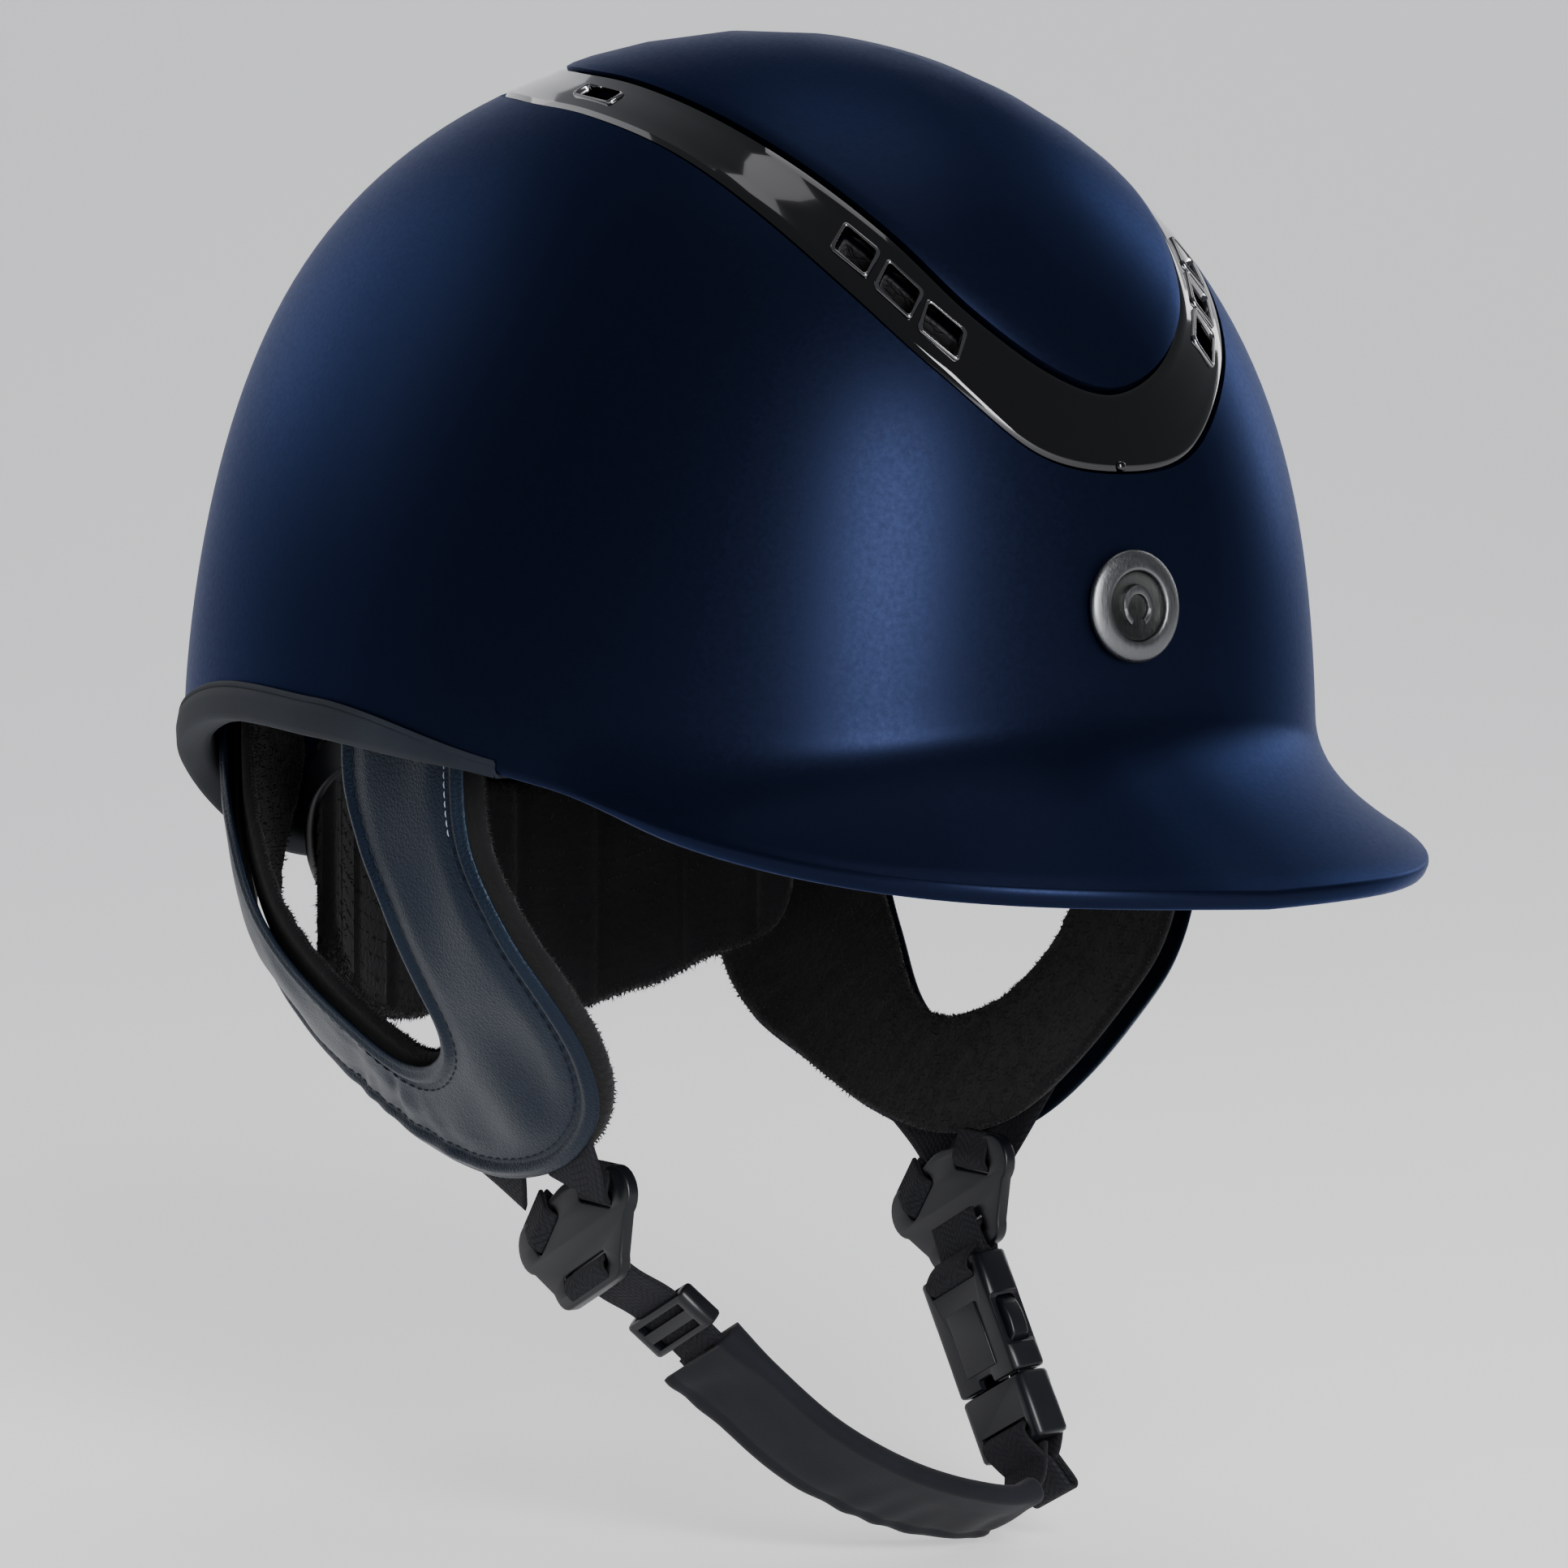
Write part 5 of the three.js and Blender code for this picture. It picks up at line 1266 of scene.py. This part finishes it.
def anchor_plate(side, way, label):
    """Moulded plate and domed rivet that hold a strap's top end."""
    y, z = ANCHORS[label]
    at = sheet_offset(way, np.array(float(y)), np.array(float(z)), np.array(0.0))
    out = unit(sheet_offset(way, np.array(float(y)), np.array(float(z)), np.array(1.0)) - at)
    across = unit(np.cross((0, 0, 1), out))
    up = np.cross(out, across)
    ring = rounded_polygon([(-9, -4.5), (9, -4.5), (9, 4.5), (-9, 4.5)], 2, 6)
    rings = []
    for high, shrink in ((-1.1, 0.95), (-0.9, 1), (0.8, 1), (1.1, 0.94)):
        rings.append([at + across * a * shrink + up * b * shrink + out * high for a, b in ring])
    plate = prism(f"strap_anchor_{label}_{side}_plate", rings)
    mark_sharp(plate, 50)
    finish_piece(plate, PLASTIC, "helmet", [f"strap_anchor_{label}_{side}"])
    rivet = lathe(f"strap_anchor_{label}_{side}_rivet",
                  [(0, 3.5), (1.2, 3.3), (2.2, 2.6), (2.6, 1.9), (2.6, 1.0)], at,
                  out, 24)
    finish_piece(rivet, PLASTIC, "helmet")


# ---- Hanging hardware ---
LEAN = math.radians(26.6)
HANG_POINT = np.array([0, -14, -95.0])
DIVIDER_X, DIVIDER_THICKNESS = 51.5, 3.0
BUCKLE_AT, BUCKLE_TILT = (47.5, -16.0), math.radians(4)
BUCKLE_WIDTH, BUCKLE_LENGTH, BUCKLE_DEPTH, BUCKLE_WALL = 23.0, 28.0, 9.0, 1.6
PRONG_ROOT, BASE_LENGTH = -28.6, 15.0
CHIN_LINE = [(-48.7, -8.6), (-45, -12), (-38, -17), (-31, -25), (-21, -38), (-8, -52.5), (8, -63.5),
             (24, -70),
             (37, -72.3), (46, -69), (50.4, -60.4)]


def hanging(points):
    """Points of the forward-leaning plane of the hanging parts, in the common frame."""
    p = np.asarray(points, float)
    c, s = math.cos(-LEAN), math.sin(-LEAN)
    return np.stack([p[..., 0], c * p[..., 1] - s * p[..., 2], s * p[..., 1] + c * p[..., 2]],
                    -1) + HANG_POINT


def in_buckle(points):
    p = np.asarray(points, float)
    c, s = math.cos(-BUCKLE_TILT), math.sin(-BUCKLE_TILT)
    turned = np.stack([c * p[..., 0] + s * p[..., 2], p[..., 1], -s * p[..., 0] + c * p[..., 2]], -1)
    return hanging(turned + np.array([BUCKLE_AT[0], 0, BUCKLE_AT[1]]))


def arc(cx, cy, r, start, end, steps=14):
    return [(cx + r * math.cos(a), cy + r * math.sin(a)) for a in np.linspace(start, end, steps)]


def quad(a, b, c, steps=8):
    a, b, c = (np.array(v, float) for v in (a, b, c))
    return [tuple((1 - t) ** 2 * a + 2 * t * (1 - t) * b + t * t * c)
            for t in np.linspace(0, 1, steps + 1)[1:]]


def plate_between(name, outline, holes, thickness, place, bevel=0.6):
    """Plate with holes and rounded edges, cut from curves. place takes (out, across, up)."""
    curve = bpy.data.curves.new(name, "CURVE")
    curve.dimensions, curve.fill_mode = "2D", "BOTH"
    curve.extrude, curve.bevel_depth = (thickness / 2 - bevel) * MM, bevel * MM
    curve.bevel_resolution = 3
    curve.offset = -bevel * MM
    for loop in [outline] + holes:
        spline = curve.splines.new("POLY")
        spline.points.add(len(loop) - 1)
        spline.use_cyclic_u = True
        for point, (a, b) in zip(spline.points, loop):
            point.co = (a * MM, b * MM, 0, 1)
    holder = bpy.data.objects.new(name, curve)
    scene.collection.objects.link(holder)
    deps = bpy.context.evaluated_depsgraph_get()
    mesh = bpy.data.meshes.new_from_object(holder.evaluated_get(deps))
    bpy.data.objects.remove(holder)
    obj = bpy.data.objects.new(name, mesh)
    scene.collection.objects.link(obj)
    co = np.empty(len(mesh.vertices) * 3)
    mesh.vertices.foreach_get("co", co)
    co = co.reshape(-1, 3) / MM
    moved = place(np.stack([co[:, 2], co[:, 0], co[:, 1]], 1)) * MM
    mesh.vertices.foreach_set("co", moved.ravel())
    bm = bmesh.new()
    bm.from_mesh(mesh)
    bmesh.ops.remove_doubles(bm, verts=bm.verts, dist=1e-6)
    bmesh.ops.recalc_face_normals(bm, faces=bm.faces)
    bm.to_mesh(mesh)
    bm.free()
    return mark_sharp(obj, 40)


def divider(side, way):
    """Strap divider: two slanted slots above for the legs, one below, and a round lobe at each side."""
    outline = [(-9, -14), (9, -14)] + quad((9, -14), (13, -14), (14, -9))
    outline += arc(17, 3, 6, -1.2, 1.9) + [(4, 11)] + quad((4, 11), (0, 12), (-4, 11))
    outline += arc(-17, 3, 6, 1.24, 4.34) + quad((-14, -9), (-13, -14), (-9, -14))[:-1]

    def slot(x, y, angle, length, width):
        c, s = math.cos(math.radians(angle)), math.sin(math.radians(angle))
        corners = [(-length / 2, -width / 2), (-length / 2, width / 2), (length / 2, width / 2),
                   (length / 2, -width / 2)]
        return [(x + a * c - b * s, y + a * s + b * c) for a, b in rounded_polygon(corners, 0.9, 4)]

    holes = [slot(-10.5, 4.5, 28, 12, 3), slot(10.5, 4.5, -28, 12, 3), slot(0, -8.5, 0, 17, 3.4)]
    made = plate_between(f"divider_{side}_plate", outline, holes, DIVIDER_THICKNESS,
                         lambda p: hanging(p + np.array([way * DIVIDER_X, 0, 0])))
    finish_piece(made, PLASTIC, "helmet", [f"divider_{side}"])


def strap_line(line, count):
    """Stations along [x, z] points of the leaning plane: centres, outward directions and run, and lengths."""
    knots = [(x, 0.0, z) for x, z in line]
    t = np.linspace(0, 1, count)
    centres = catmull(knots, t)
    run = unit(catmull(knots, np.minimum(t + 0.002, 1)) - catmull(knots, np.maximum(t - 0.002, 0)))
    out = np.stack([run[:, 2], 0 * t, -run[:, 0]], 1)
    length = np.concatenate([[0], np.cumsum(np.linalg.norm(np.diff(centres, axis=0), axis=1))])
    return centres, out, run, length


def hanging_webbing(name, line, count, body_name, node, ripple=0.0):
    centres, out, _, length = strap_line(line, count)
    across = np.broadcast_to(np.array([0, 1.0, 0]), centres.shape)
    centres = centres + out * (ripple * np.sin(length / 5.5))[:, None]
    made = strap_solid(name, centres, across, out, WEBBING_WIDTH, WEBBING_THICKNESS, length)
    co = np.empty(len(made.data.vertices) * 3)
    made.data.vertices.foreach_get("co", co)
    made.data.vertices.foreach_set("co", (hanging(co.reshape(-1, 3) / MM) * MM).ravel())
    made.data.update()
    return finish_piece(made, WEAVE, body_name, [node])


def slot_wrap(name, place, centre, across, up, width, depth, bar, body_name, tail=4.0):
    """Webbing through a slot at centre, turned over the bar that lies bar away along up, and back."""
    half = [(0.7, bar + tail), (0.62 * depth + 0.3, bar + tail * 0.45), (depth + 0.75, bar * 0.6),
            (depth + 0.65, 0.7),
            (depth * 0.75, -0.6), (0, -0.85)]
    loop = half + [(-a, b) for a, b in half[-2::-1]]
    line = catmull([(0, a, b) for a, b in loop], np.linspace(0, 1, 60))[:, 1:]
    across, up, centre = (np.asarray(v, float) for v in (across, up, centre))
    out = np.cross(across, up)
    centres = centre + np.outer(line[:, 0], out) + np.outer(line[:, 1], up)
    run = unit(np.gradient(centres, axis=0))
    normals = np.cross(across, run)
    length = np.concatenate([[0], np.cumsum(np.linalg.norm(np.diff(centres, axis=0), axis=1))])
    origin = place(centre)
    spread = np.broadcast_to(place(centre + across) - origin, centres.shape)
    made = strap_solid(name, place(centres), spread, place(centre + normals) - origin, width, 1.05, length,
                       0.3)
    finish_piece(made, WEAVE, body_name)


# The right tail is kept short, where the chin webbing swings past it.
LOWER_TAIL = {"left": 4.0, "right": 0.6}


def webbing_wraps():
    """Turned-over webbing at every bar: both dividers, the buckle's socket and its base."""
    for side, way in SIDES:
        for label, y, angle in (("front", -10.5, 28), ("rear", 10.5, -28)):
            c, s = math.cos(math.radians(angle)), math.sin(math.radians(angle))
            slot_wrap(f"divider_wrap_{label}_{side}", hanging, (way * DIVIDER_X, y, 4.5), (0, c, s),
                      (0, -s, c), 11.2, 1.5,
                      3.5, "helmet")
        tail = LOWER_TAIL[side]
        slot_wrap(f"divider_wrap_lower_{side}", hanging, (way * DIVIDER_X, 0, -8.5), (0, 1, 0), (0, 0, -1),
                  15.6, 1.5, 3.6,
                  "helmet", tail)
    slot_wrap("buckle_wrap_socket", in_buckle, (0, 0, -3.4), (0, 1, 0), (0, 0, 1), 15.8, 4.5, 3.0, "helmet",
              3.0)
    slot_wrap("buckle_wrap_base", in_buckle, (0, 0, PRONG_ROOT - BASE_LENGTH + 4), (0, 1, 0), (0, 0, -1),
              15.8, 4.5, 4.0,
              "chin_strap", 5.0)


def turned(direction):
    """Direction of the leaning plane in the common frame."""
    return hanging(direction) - HANG_POINT


def box_rings(lows, highs, radius, axis_steps):
    """Rounded-rectangle rings stacked along z. axis_steps: (z, shrink) pairs."""
    (x0, y0), (x1, y1) = lows, highs
    ring = rounded_polygon([(x0, y0), (x1, y0), (x1, y1), (x0, y1)], radius, 6)
    centre = np.array([(x0 + x1) / 2, (y0 + y1) / 2])
    made = []
    for z, shrink in axis_steps:
        made.append([(centre[0] + (a - centre[0]) * (1 - 2 * shrink / (x1 - x0)),
                      centre[1] + (b - centre[1]) * (1 - 2 * shrink / (y1 - y0)), z) for a, b in ring])
    return made


def rounded_box(name, x, y, z0, z1, radius=1.6, bevel=0.7, centre=(0, 0)):
    steps = [(z0, bevel), (z0 + bevel * 0.3, bevel * 0.3), (z0 + bevel, 0), (z1 - bevel, 0),
             (z1 - bevel * 0.3, bevel * 0.3), (z1, bevel)]
    low, high = (centre[0] - x / 2, centre[1] - y / 2), (centre[0] + x / 2, centre[1] + y / 2)
    return prism(name, box_rings(low, high, radius, steps))


def move_mesh(obj, place):
    co = np.empty(len(obj.data.vertices) * 3)
    obj.data.vertices.foreach_get("co", co)
    obj.data.vertices.foreach_set("co", (place(co.reshape(-1, 3) / MM) * MM).ravel())
    obj.data.update()
    return obj


def soften(obj, width=0.45, segments=3, degrees=35):
    apply_modifier(obj, "BEVEL", width=width * MM, segments=segments, limit_method="ANGLE",
                   angle_limit=math.radians(degrees), harden_normals=False)
    return mark_sharp(obj, 50)


RIDGE_COUNT, RIDGE_START, RIDGE_PITCH = 4, 3.3, 1.35


def buckle_socket():
    """Hollow female half of the side-release buckle, with a finger window down each side."""
    d, w, length, wall = BUCKLE_DEPTH, BUCKLE_WIDTH, BUCKLE_LENGTH, BUCKLE_WALL
    socket = rounded_box("buckle_socket_body", d, w, -length, 0, 2.0, 0.8)
    hollow = rounded_box("hollow", d - 2 * wall, w - 2 * wall, -length - 3, -7, 1.0, 0.3)
    windows = rounded_box("windows", d - 2 * wall, w + 6, -21.5, -10.5, 0.3, 1.2)
    bar_slot = rounded_box("bar_slot", d + 6, 17, -4.6, -2.2, 0.6, 0.3)
    notch = rounded_box("notch", d + 6, 5.5, -length - 3, -length + 2.2, 1.0, 0.8)
    waist_a = rounded_box("waist_a", d + 6, 3.0, -22.5, -9.5, 0.6, 1.4, (0, w / 2 + 0.6))
    waist_b = rounded_box("waist_b", d + 6, 3.0, -22.5, -9.5, 0.6, 1.4, (0, -w / 2 - 0.6))
    cut_with(socket, [hollow, windows, bar_slot, notch, waist_a, waist_b])
    soften(socket, 0.3, 2)
    move_mesh(socket, in_buckle)
    finish_piece(socket, PLASTIC, "helmet", ["buckle_socket"])


def buckle_panels():
    """Raised plain panel on both faces of the socket."""
    for face, x in (("outer", BUCKLE_DEPTH / 2), ("inner", -BUCKLE_DEPTH / 2)):
        panel = rounded_box(f"buckle_socket_panel_{face}", 0.7, 11, -24.5, -9.5, 0.3, 0.25, (x, 0))
        move_mesh(panel, in_buckle)
        mark_sharp(panel, 40)
        finish_piece(panel, PLASTIC, "helmet")


def buckle_base():
    """Male half of the buckle, which the prongs grow out of, with a dished thumb face."""
    d, w, top = BUCKLE_DEPTH, BUCKLE_WIDTH, PRONG_ROOT
    base = rounded_box("buckle_base_body", d, w, top - BASE_LENGTH, top, 2.0, 0.9)
    slot = rounded_box("base_slot", d + 6, 17, top - BASE_LENGTH + 2.5, top - BASE_LENGTH + 5.5, 0.6, 0.3)
    dip = rounded_box("base_dip", d + 6, 30, top - BASE_LENGTH + 6.6, top - 2.2, 0.2, 1.4, (d / 2 + 6.8, 0))
    cut_with(base, [slot, dip])
    soften(base, 0.35, 2)
    move_mesh(base, in_buckle)
    finish_piece(base, PLASTIC, "chin_strap", ["buckle_base"])


def buckle_ridges():
    """Grip ridges across the thumb face of the base."""
    for k in range(RIDGE_COUNT):
        z = PRONG_ROOT - RIDGE_START - RIDGE_PITCH * k
        ridge = rounded_box(f"buckle_base_ridge_{k}", 0.8, 15, z - 0.4, z + 0.4, 0.2, 0.2,
                            (BUCKLE_DEPTH / 2 - 1.0, 0))
        move_mesh(ridge, in_buckle)
        finish_piece(ridge, PLASTIC, "chin_strap")


def prongs():
    """The two sprung arms of the buckle, each on its own body."""
    outline = [(5.2, 0), (9, 0), (9.4, 6.4), (11.9, 8)] + quad((11.9, 8), (13, 12), (11.6, 16))
    outline += [(8.4, 18.6), (7, 18), (7.4, 9)]
    for label, way, body_name in (("rear", 1, "prong_rear"), ("front", -1, "prong_front")):
        made = plate_between(f"buckle_prong_{label}_arm", outline, [], 4.6,
                             lambda p, way=way: in_buckle(p * np.array([1, way, 1])
                                                          + np.array([0, 0, PRONG_ROOT + 0.4])))
        bm = bmesh.new()
        bm.from_mesh(made.data)
        bmesh.ops.recalc_face_normals(bm, faces=bm.faces)
        bm.to_mesh(made.data)
        bm.free()
        finish_piece(made, PLASTIC, body_name, [f"buckle_prong_{label}"])


# ---- Chin strap ---
COVER_WIDTH, COVER_SPAN = 26.0, (0.33, 0.84)
SLEEVE_HALF_DEPTH, SLEEVE_WALL = 2.3, 1.15
ADJUSTER_SHARE = 0.26


def chin_station(s):
    knots = [(x, 0.0, z) for x, z in CHIN_LINE]
    p = catmull(knots, np.array([s]))[0]
    run = unit(catmull(knots, np.array([s + 0.002]))[0] - catmull(knots, np.array([s - 0.002]))[0])
    return p, run, np.array([run[2], 0, -run[0]])


def chin_cover():
    """Soft sleeve folded round the front edge of the chin webbing, open along its back, creased across."""
    half = COVER_WIDTH / 2
    rings = []
    shares = np.linspace(COVER_SPAN[0], COVER_SPAN[1], 150)
    for s in shares:
        p, _, out = chin_station(s)
        t = (s - COVER_SPAN[0]) / (COVER_SPAN[1] - COVER_SPAN[0])
        flare = 1.5 * math.exp(-(t / 0.09) ** 2) + 0.8 * math.exp(-((1 - t) / 0.06) ** 2)
        outer, inner = [], []
        for a in np.linspace(0, 1, 22):
            side = half - a * (2 * half - 2.6)
            crease = 0.40 * math.sin(17 * t + 2.6 * a
                                     + 2.5 * math.sin(7 * t)) * math.sin(math.pi * min(a * 1.3, 1))
            crease += 0.22 * math.sin(43 * t - 3.0 * a + 3.0 * math.sin(11 * t)) * (1 - a)
            hem = 0.5 * math.exp(-((a - 0.07) / 0.04) ** 2) - 0.35 * math.exp(-((a - 0.16) / 0.025) ** 2)
            outer.append((SLEEVE_HALF_DEPTH + flare + crease + hem, side))
        for angle in np.linspace(90, -90, 15)[1:-1]:
            c, s_ = math.cos(math.radians(angle)), math.sin(math.radians(angle))
            outer.append(((2.4 + flare * 0.5) * s_, -half + 2.6 - 2.6 * c))
        for a in np.linspace(1, 0, 22):
            side = half - a * (2 * half - 2.6)
            crease = 0.35 * math.sin(15 * t + 2.2 * a
                                     + 2.0 * math.sin(6 * t)) * math.sin(math.pi * min(a * 1.3, 1))
            hem = 0.4 * math.exp(-((a - 0.07) / 0.04) ** 2) - 0.3 * math.exp(-((a - 0.16) / 0.025) ** 2)
            outer.append((-SLEEVE_HALF_DEPTH - flare + crease - hem, side))
        for a in np.linspace(0, 1, 8):
            side = half - 0.15 - a * (2 * half - 4.6)
            inner.append((-SLEEVE_HALF_DEPTH - flare + SLEEVE_WALL, side))
        for angle in np.linspace(-90, 90, 9)[1:-1]:
            c, s_ = math.cos(math.radians(angle)), math.sin(math.radians(angle))
            inner.append(((SLEEVE_HALF_DEPTH + flare - SLEEVE_WALL) * s_, -half + 4.4 - 2.4 * c))
        for a in np.linspace(1, 0, 8):
            side = half - 0.15 - a * (2 * half - 4.6)
            inner.append((SLEEVE_HALF_DEPTH + flare - SLEEVE_WALL, side))
        rings.append([p + out * d + np.array([0, side, 0]) for d, side in outer + inner])
    made = ring_solid("chin_cover_sleeve", np.array(rings), False)
    move_mesh(made, hanging)
    finish_piece(made, SLEEVE, "chin_strap", ["chin_cover"])


def adjuster():
    """Three-bar slide on the chin webbing."""
    p, run, out = chin_station(ADJUSTER_SHARE)

    def place(q):
        q = np.asarray(q)
        return hanging(p + np.outer(q[:, 0], -out) + np.outer(q[:, 1], [0, 1, 0]) + np.outer(q[:, 2], run))

    block = rounded_box("strap_adjuster_body", 4.8, 23, -5, 5, 1.8, 0.8)
    passage = rounded_box("passage", 2.8, 17.4, -8, 8, 0.4, 0.3)
    gap_a = rounded_box("gap_a", 9, 17.0, -3.4, -1.3, 0.5, 0.3, (-4.5, 0))
    gap_b = rounded_box("gap_b", 9, 17.0, 1.3, 3.4, 0.5, 0.3, (-4.5, 0))
    cut_with(block, [passage, gap_a, gap_b])
    soften(block, 0.3, 2)
    move_mesh(block, place)
    finish_piece(block, PLASTIC, "chin_strap", ["strap_adjuster"])


STRAP_END_AT, STRAP_END_LEAN = (53.4, -67.5), math.radians(-25)


def strap_end():
    """Spare end of the strap, folded over on itself."""
    c, s = math.cos(STRAP_END_LEAN), math.sin(STRAP_END_LEAN)
    loop = [(-1.1, 4.0), (-1.15, 1.0), (-1.2, -2.0), (-0.9, -3.5), (0.0, -4.0), (0.9, -3.5), (1.15, -2.0),
            (1.1, 1.0),
            (1.05, 4.0)]
    line = catmull([(0, a, b) for a, b in loop], np.linspace(0, 1, 60))[:, 1:]
    x = line[:, 0] * c + line[:, 1] * s + STRAP_END_AT[0]
    z = -line[:, 0] * s + line[:, 1] * c + STRAP_END_AT[1]
    turned_line = np.stack([x, 0 * x, z], 1)
    run = unit(np.gradient(turned_line, axis=0))
    normals = np.stack([run[:, 2], 0 * run[:, 0], -run[:, 0]], 1)
    length = np.concatenate([[0], np.cumsum(np.linalg.norm(np.diff(turned_line, axis=0), axis=1))])
    made = strap_solid("strap_end_fold", hanging(turned_line),
                       np.broadcast_to(turned(np.array([0, 1.0, 0])), turned_line.shape),
                       turned(normals), 15, 1.05, length, 0.3)
    finish_piece(made, WEAVE, "chin_strap", ["strap_end"])


def nape_pile(rings):
    """Loose pile over the nape pad, thickest along its lower edge."""
    pick = np.random.default_rng(77)
    stations, count = rings.shape[:2]
    centre = rings.mean(1)
    i, j = pick.integers(2, stations - 2, 16000), pick.integers(0, count, 16000)
    roots = rings[i, j]
    fibres("nape_pad_pile", roots, unit(roots - centre[i]), 1.3, FUZZ, "cradle", seed=78)


def harness():
    for side, way in SIDES:
        harness_cover(side, way)
        cover_stitching(side, way)
        harness_lining(side, way)
        leg_webbing(side, way, "front", FRONT_WEB)
        leg_webbing(side, way, "rear", REAR_WEB)
        anchor_plate(side, way, "front")
        anchor_plate(side, way, "rear")
        divider(side, way)
    lower = [(48.8, -4.5), (48.8, -10), (48.8, -15.4)]
    hanging_webbing("lower_webbing_left_weave", lower, 24, "helmet", "lower_webbing_left")
    hanging_webbing("chin_webbing_weave", CHIN_LINE, 260, "chin_strap", "chin_webbing", 0.12)
    chin_cover()
    adjuster()
    strap_end()
    buckle_socket()
    buckle_panels()
    buckle_base()
    buckle_ridges()
    prongs()
    webbing_wraps()


# ---- Scene ---
VIEW_AZIMUTH, VIEW_ELEVATION, VIEW_DISTANCE = math.radians(-36.0), math.radians(2.63), 1.2
VIEW_LENS, VIEW_SHIFT = 123.8, 0.0305
FLOOR_HEIGHT = -0.1695


def camera():
    data = bpy.data.cameras.new("camera")
    data.lens, data.sensor_width, data.shift_x = VIEW_LENS, 36, VIEW_SHIFT
    cam = bpy.data.objects.new("camera", data)
    scene.collection.objects.link(cam)
    back = Vector((math.sin(VIEW_AZIMUTH) * math.cos(VIEW_ELEVATION),
                   -math.cos(VIEW_AZIMUTH) * math.cos(VIEW_ELEVATION),
                   math.sin(VIEW_ELEVATION)))
    target = Vector((0, 0, 0.00012))
    cam.location = target + back * VIEW_DISTANCE
    cam.rotation_euler = back.to_track_quat("Z", "Y").to_euler()
    data.clip_start, data.clip_end = 0.05, 50
    scene.camera = cam


def soft_light(name, location, target, size, power, color=(1, 1, 1)):
    data = bpy.data.lights.new(name, "AREA")
    data.shape = "RECTANGLE"
    data.size, data.size_y = size
    data.energy, data.color = power, color
    lamp = bpy.data.objects.new(name, data)
    scene.collection.objects.link(lamp)
    lamp.location = location
    lamp.rotation_euler = (Vector(location) - Vector(target)).to_track_quat("Z", "Y").to_euler()


def studio():
    """Pale sweep and soft lights. A tall box beside the camera gives the broad highlight on the shell."""
    steps = 40
    points = []
    for i in range(steps + 1):
        t = i / steps
        if t < 0.5:
            y, z = -6 + 12 * t * 1.25, 0.0
        else:
            a = (t - 0.5) / 0.5 * math.pi / 2
            y, z = 1.5 + 2.5 * math.sin(a), 2.5 * (1 - math.cos(a))
        points += [(-6000, y * 1000, FLOOR_HEIGHT * 1000 + z * 1000),
                   (6000, y * 1000, FLOOR_HEIGHT * 1000 + z * 1000)]
    floor = mesh_object("studio_sweep", points, grid_faces(steps + 1, 2))
    turn = Matrix.Rotation(VIEW_AZIMUTH, 4, "Z")
    floor.matrix_world = turn
    made, _, _ = new_material("pale_paper", (0.93, 0.93, 0.94), 0.9, Emission_Color=(1, 1, 1, 1),
                                      Emission_Strength=0.34)
    floor.data.materials.append(made)
    world = bpy.data.worlds.new("studio")
    world.use_nodes = True
    world.node_tree.nodes["Background"].inputs["Color"].default_value = (0.9, 0.93, 1.0, 1)
    world.node_tree.nodes["Background"].inputs["Strength"].default_value = 0.3
    scene.world = world
    target = (0, 0, 0.03)
    soft_light("key_box", (-0.66, -1.74, 0.5), target, (0.62, 1.3), 72)
    soft_light("top_box", (0.3, 0.2, 2.1), target, (1.2, 1.2), 9)
    soft_light("rim_box", (1.9, 0.3, 0.9), target, (0.4, 1.4), 10)
    soft_light("back_box", (-0.6, 1.9, 1.0), target, (1.4, 1.0), 7)


def build():
    """Every piece but the harness. Hands back the rings of the nape pad, for its pile."""
    shell_and_crown()
    vent_trim()
    badge()
    rim_edging()
    peak_lining()
    liners()
    pads()
    cradle()
    nape_rings = nape_pad()
    dial()
    return nape_rings


nape_rings = build()
harness()
nape_pile(nape_rings)
camera()
studio()
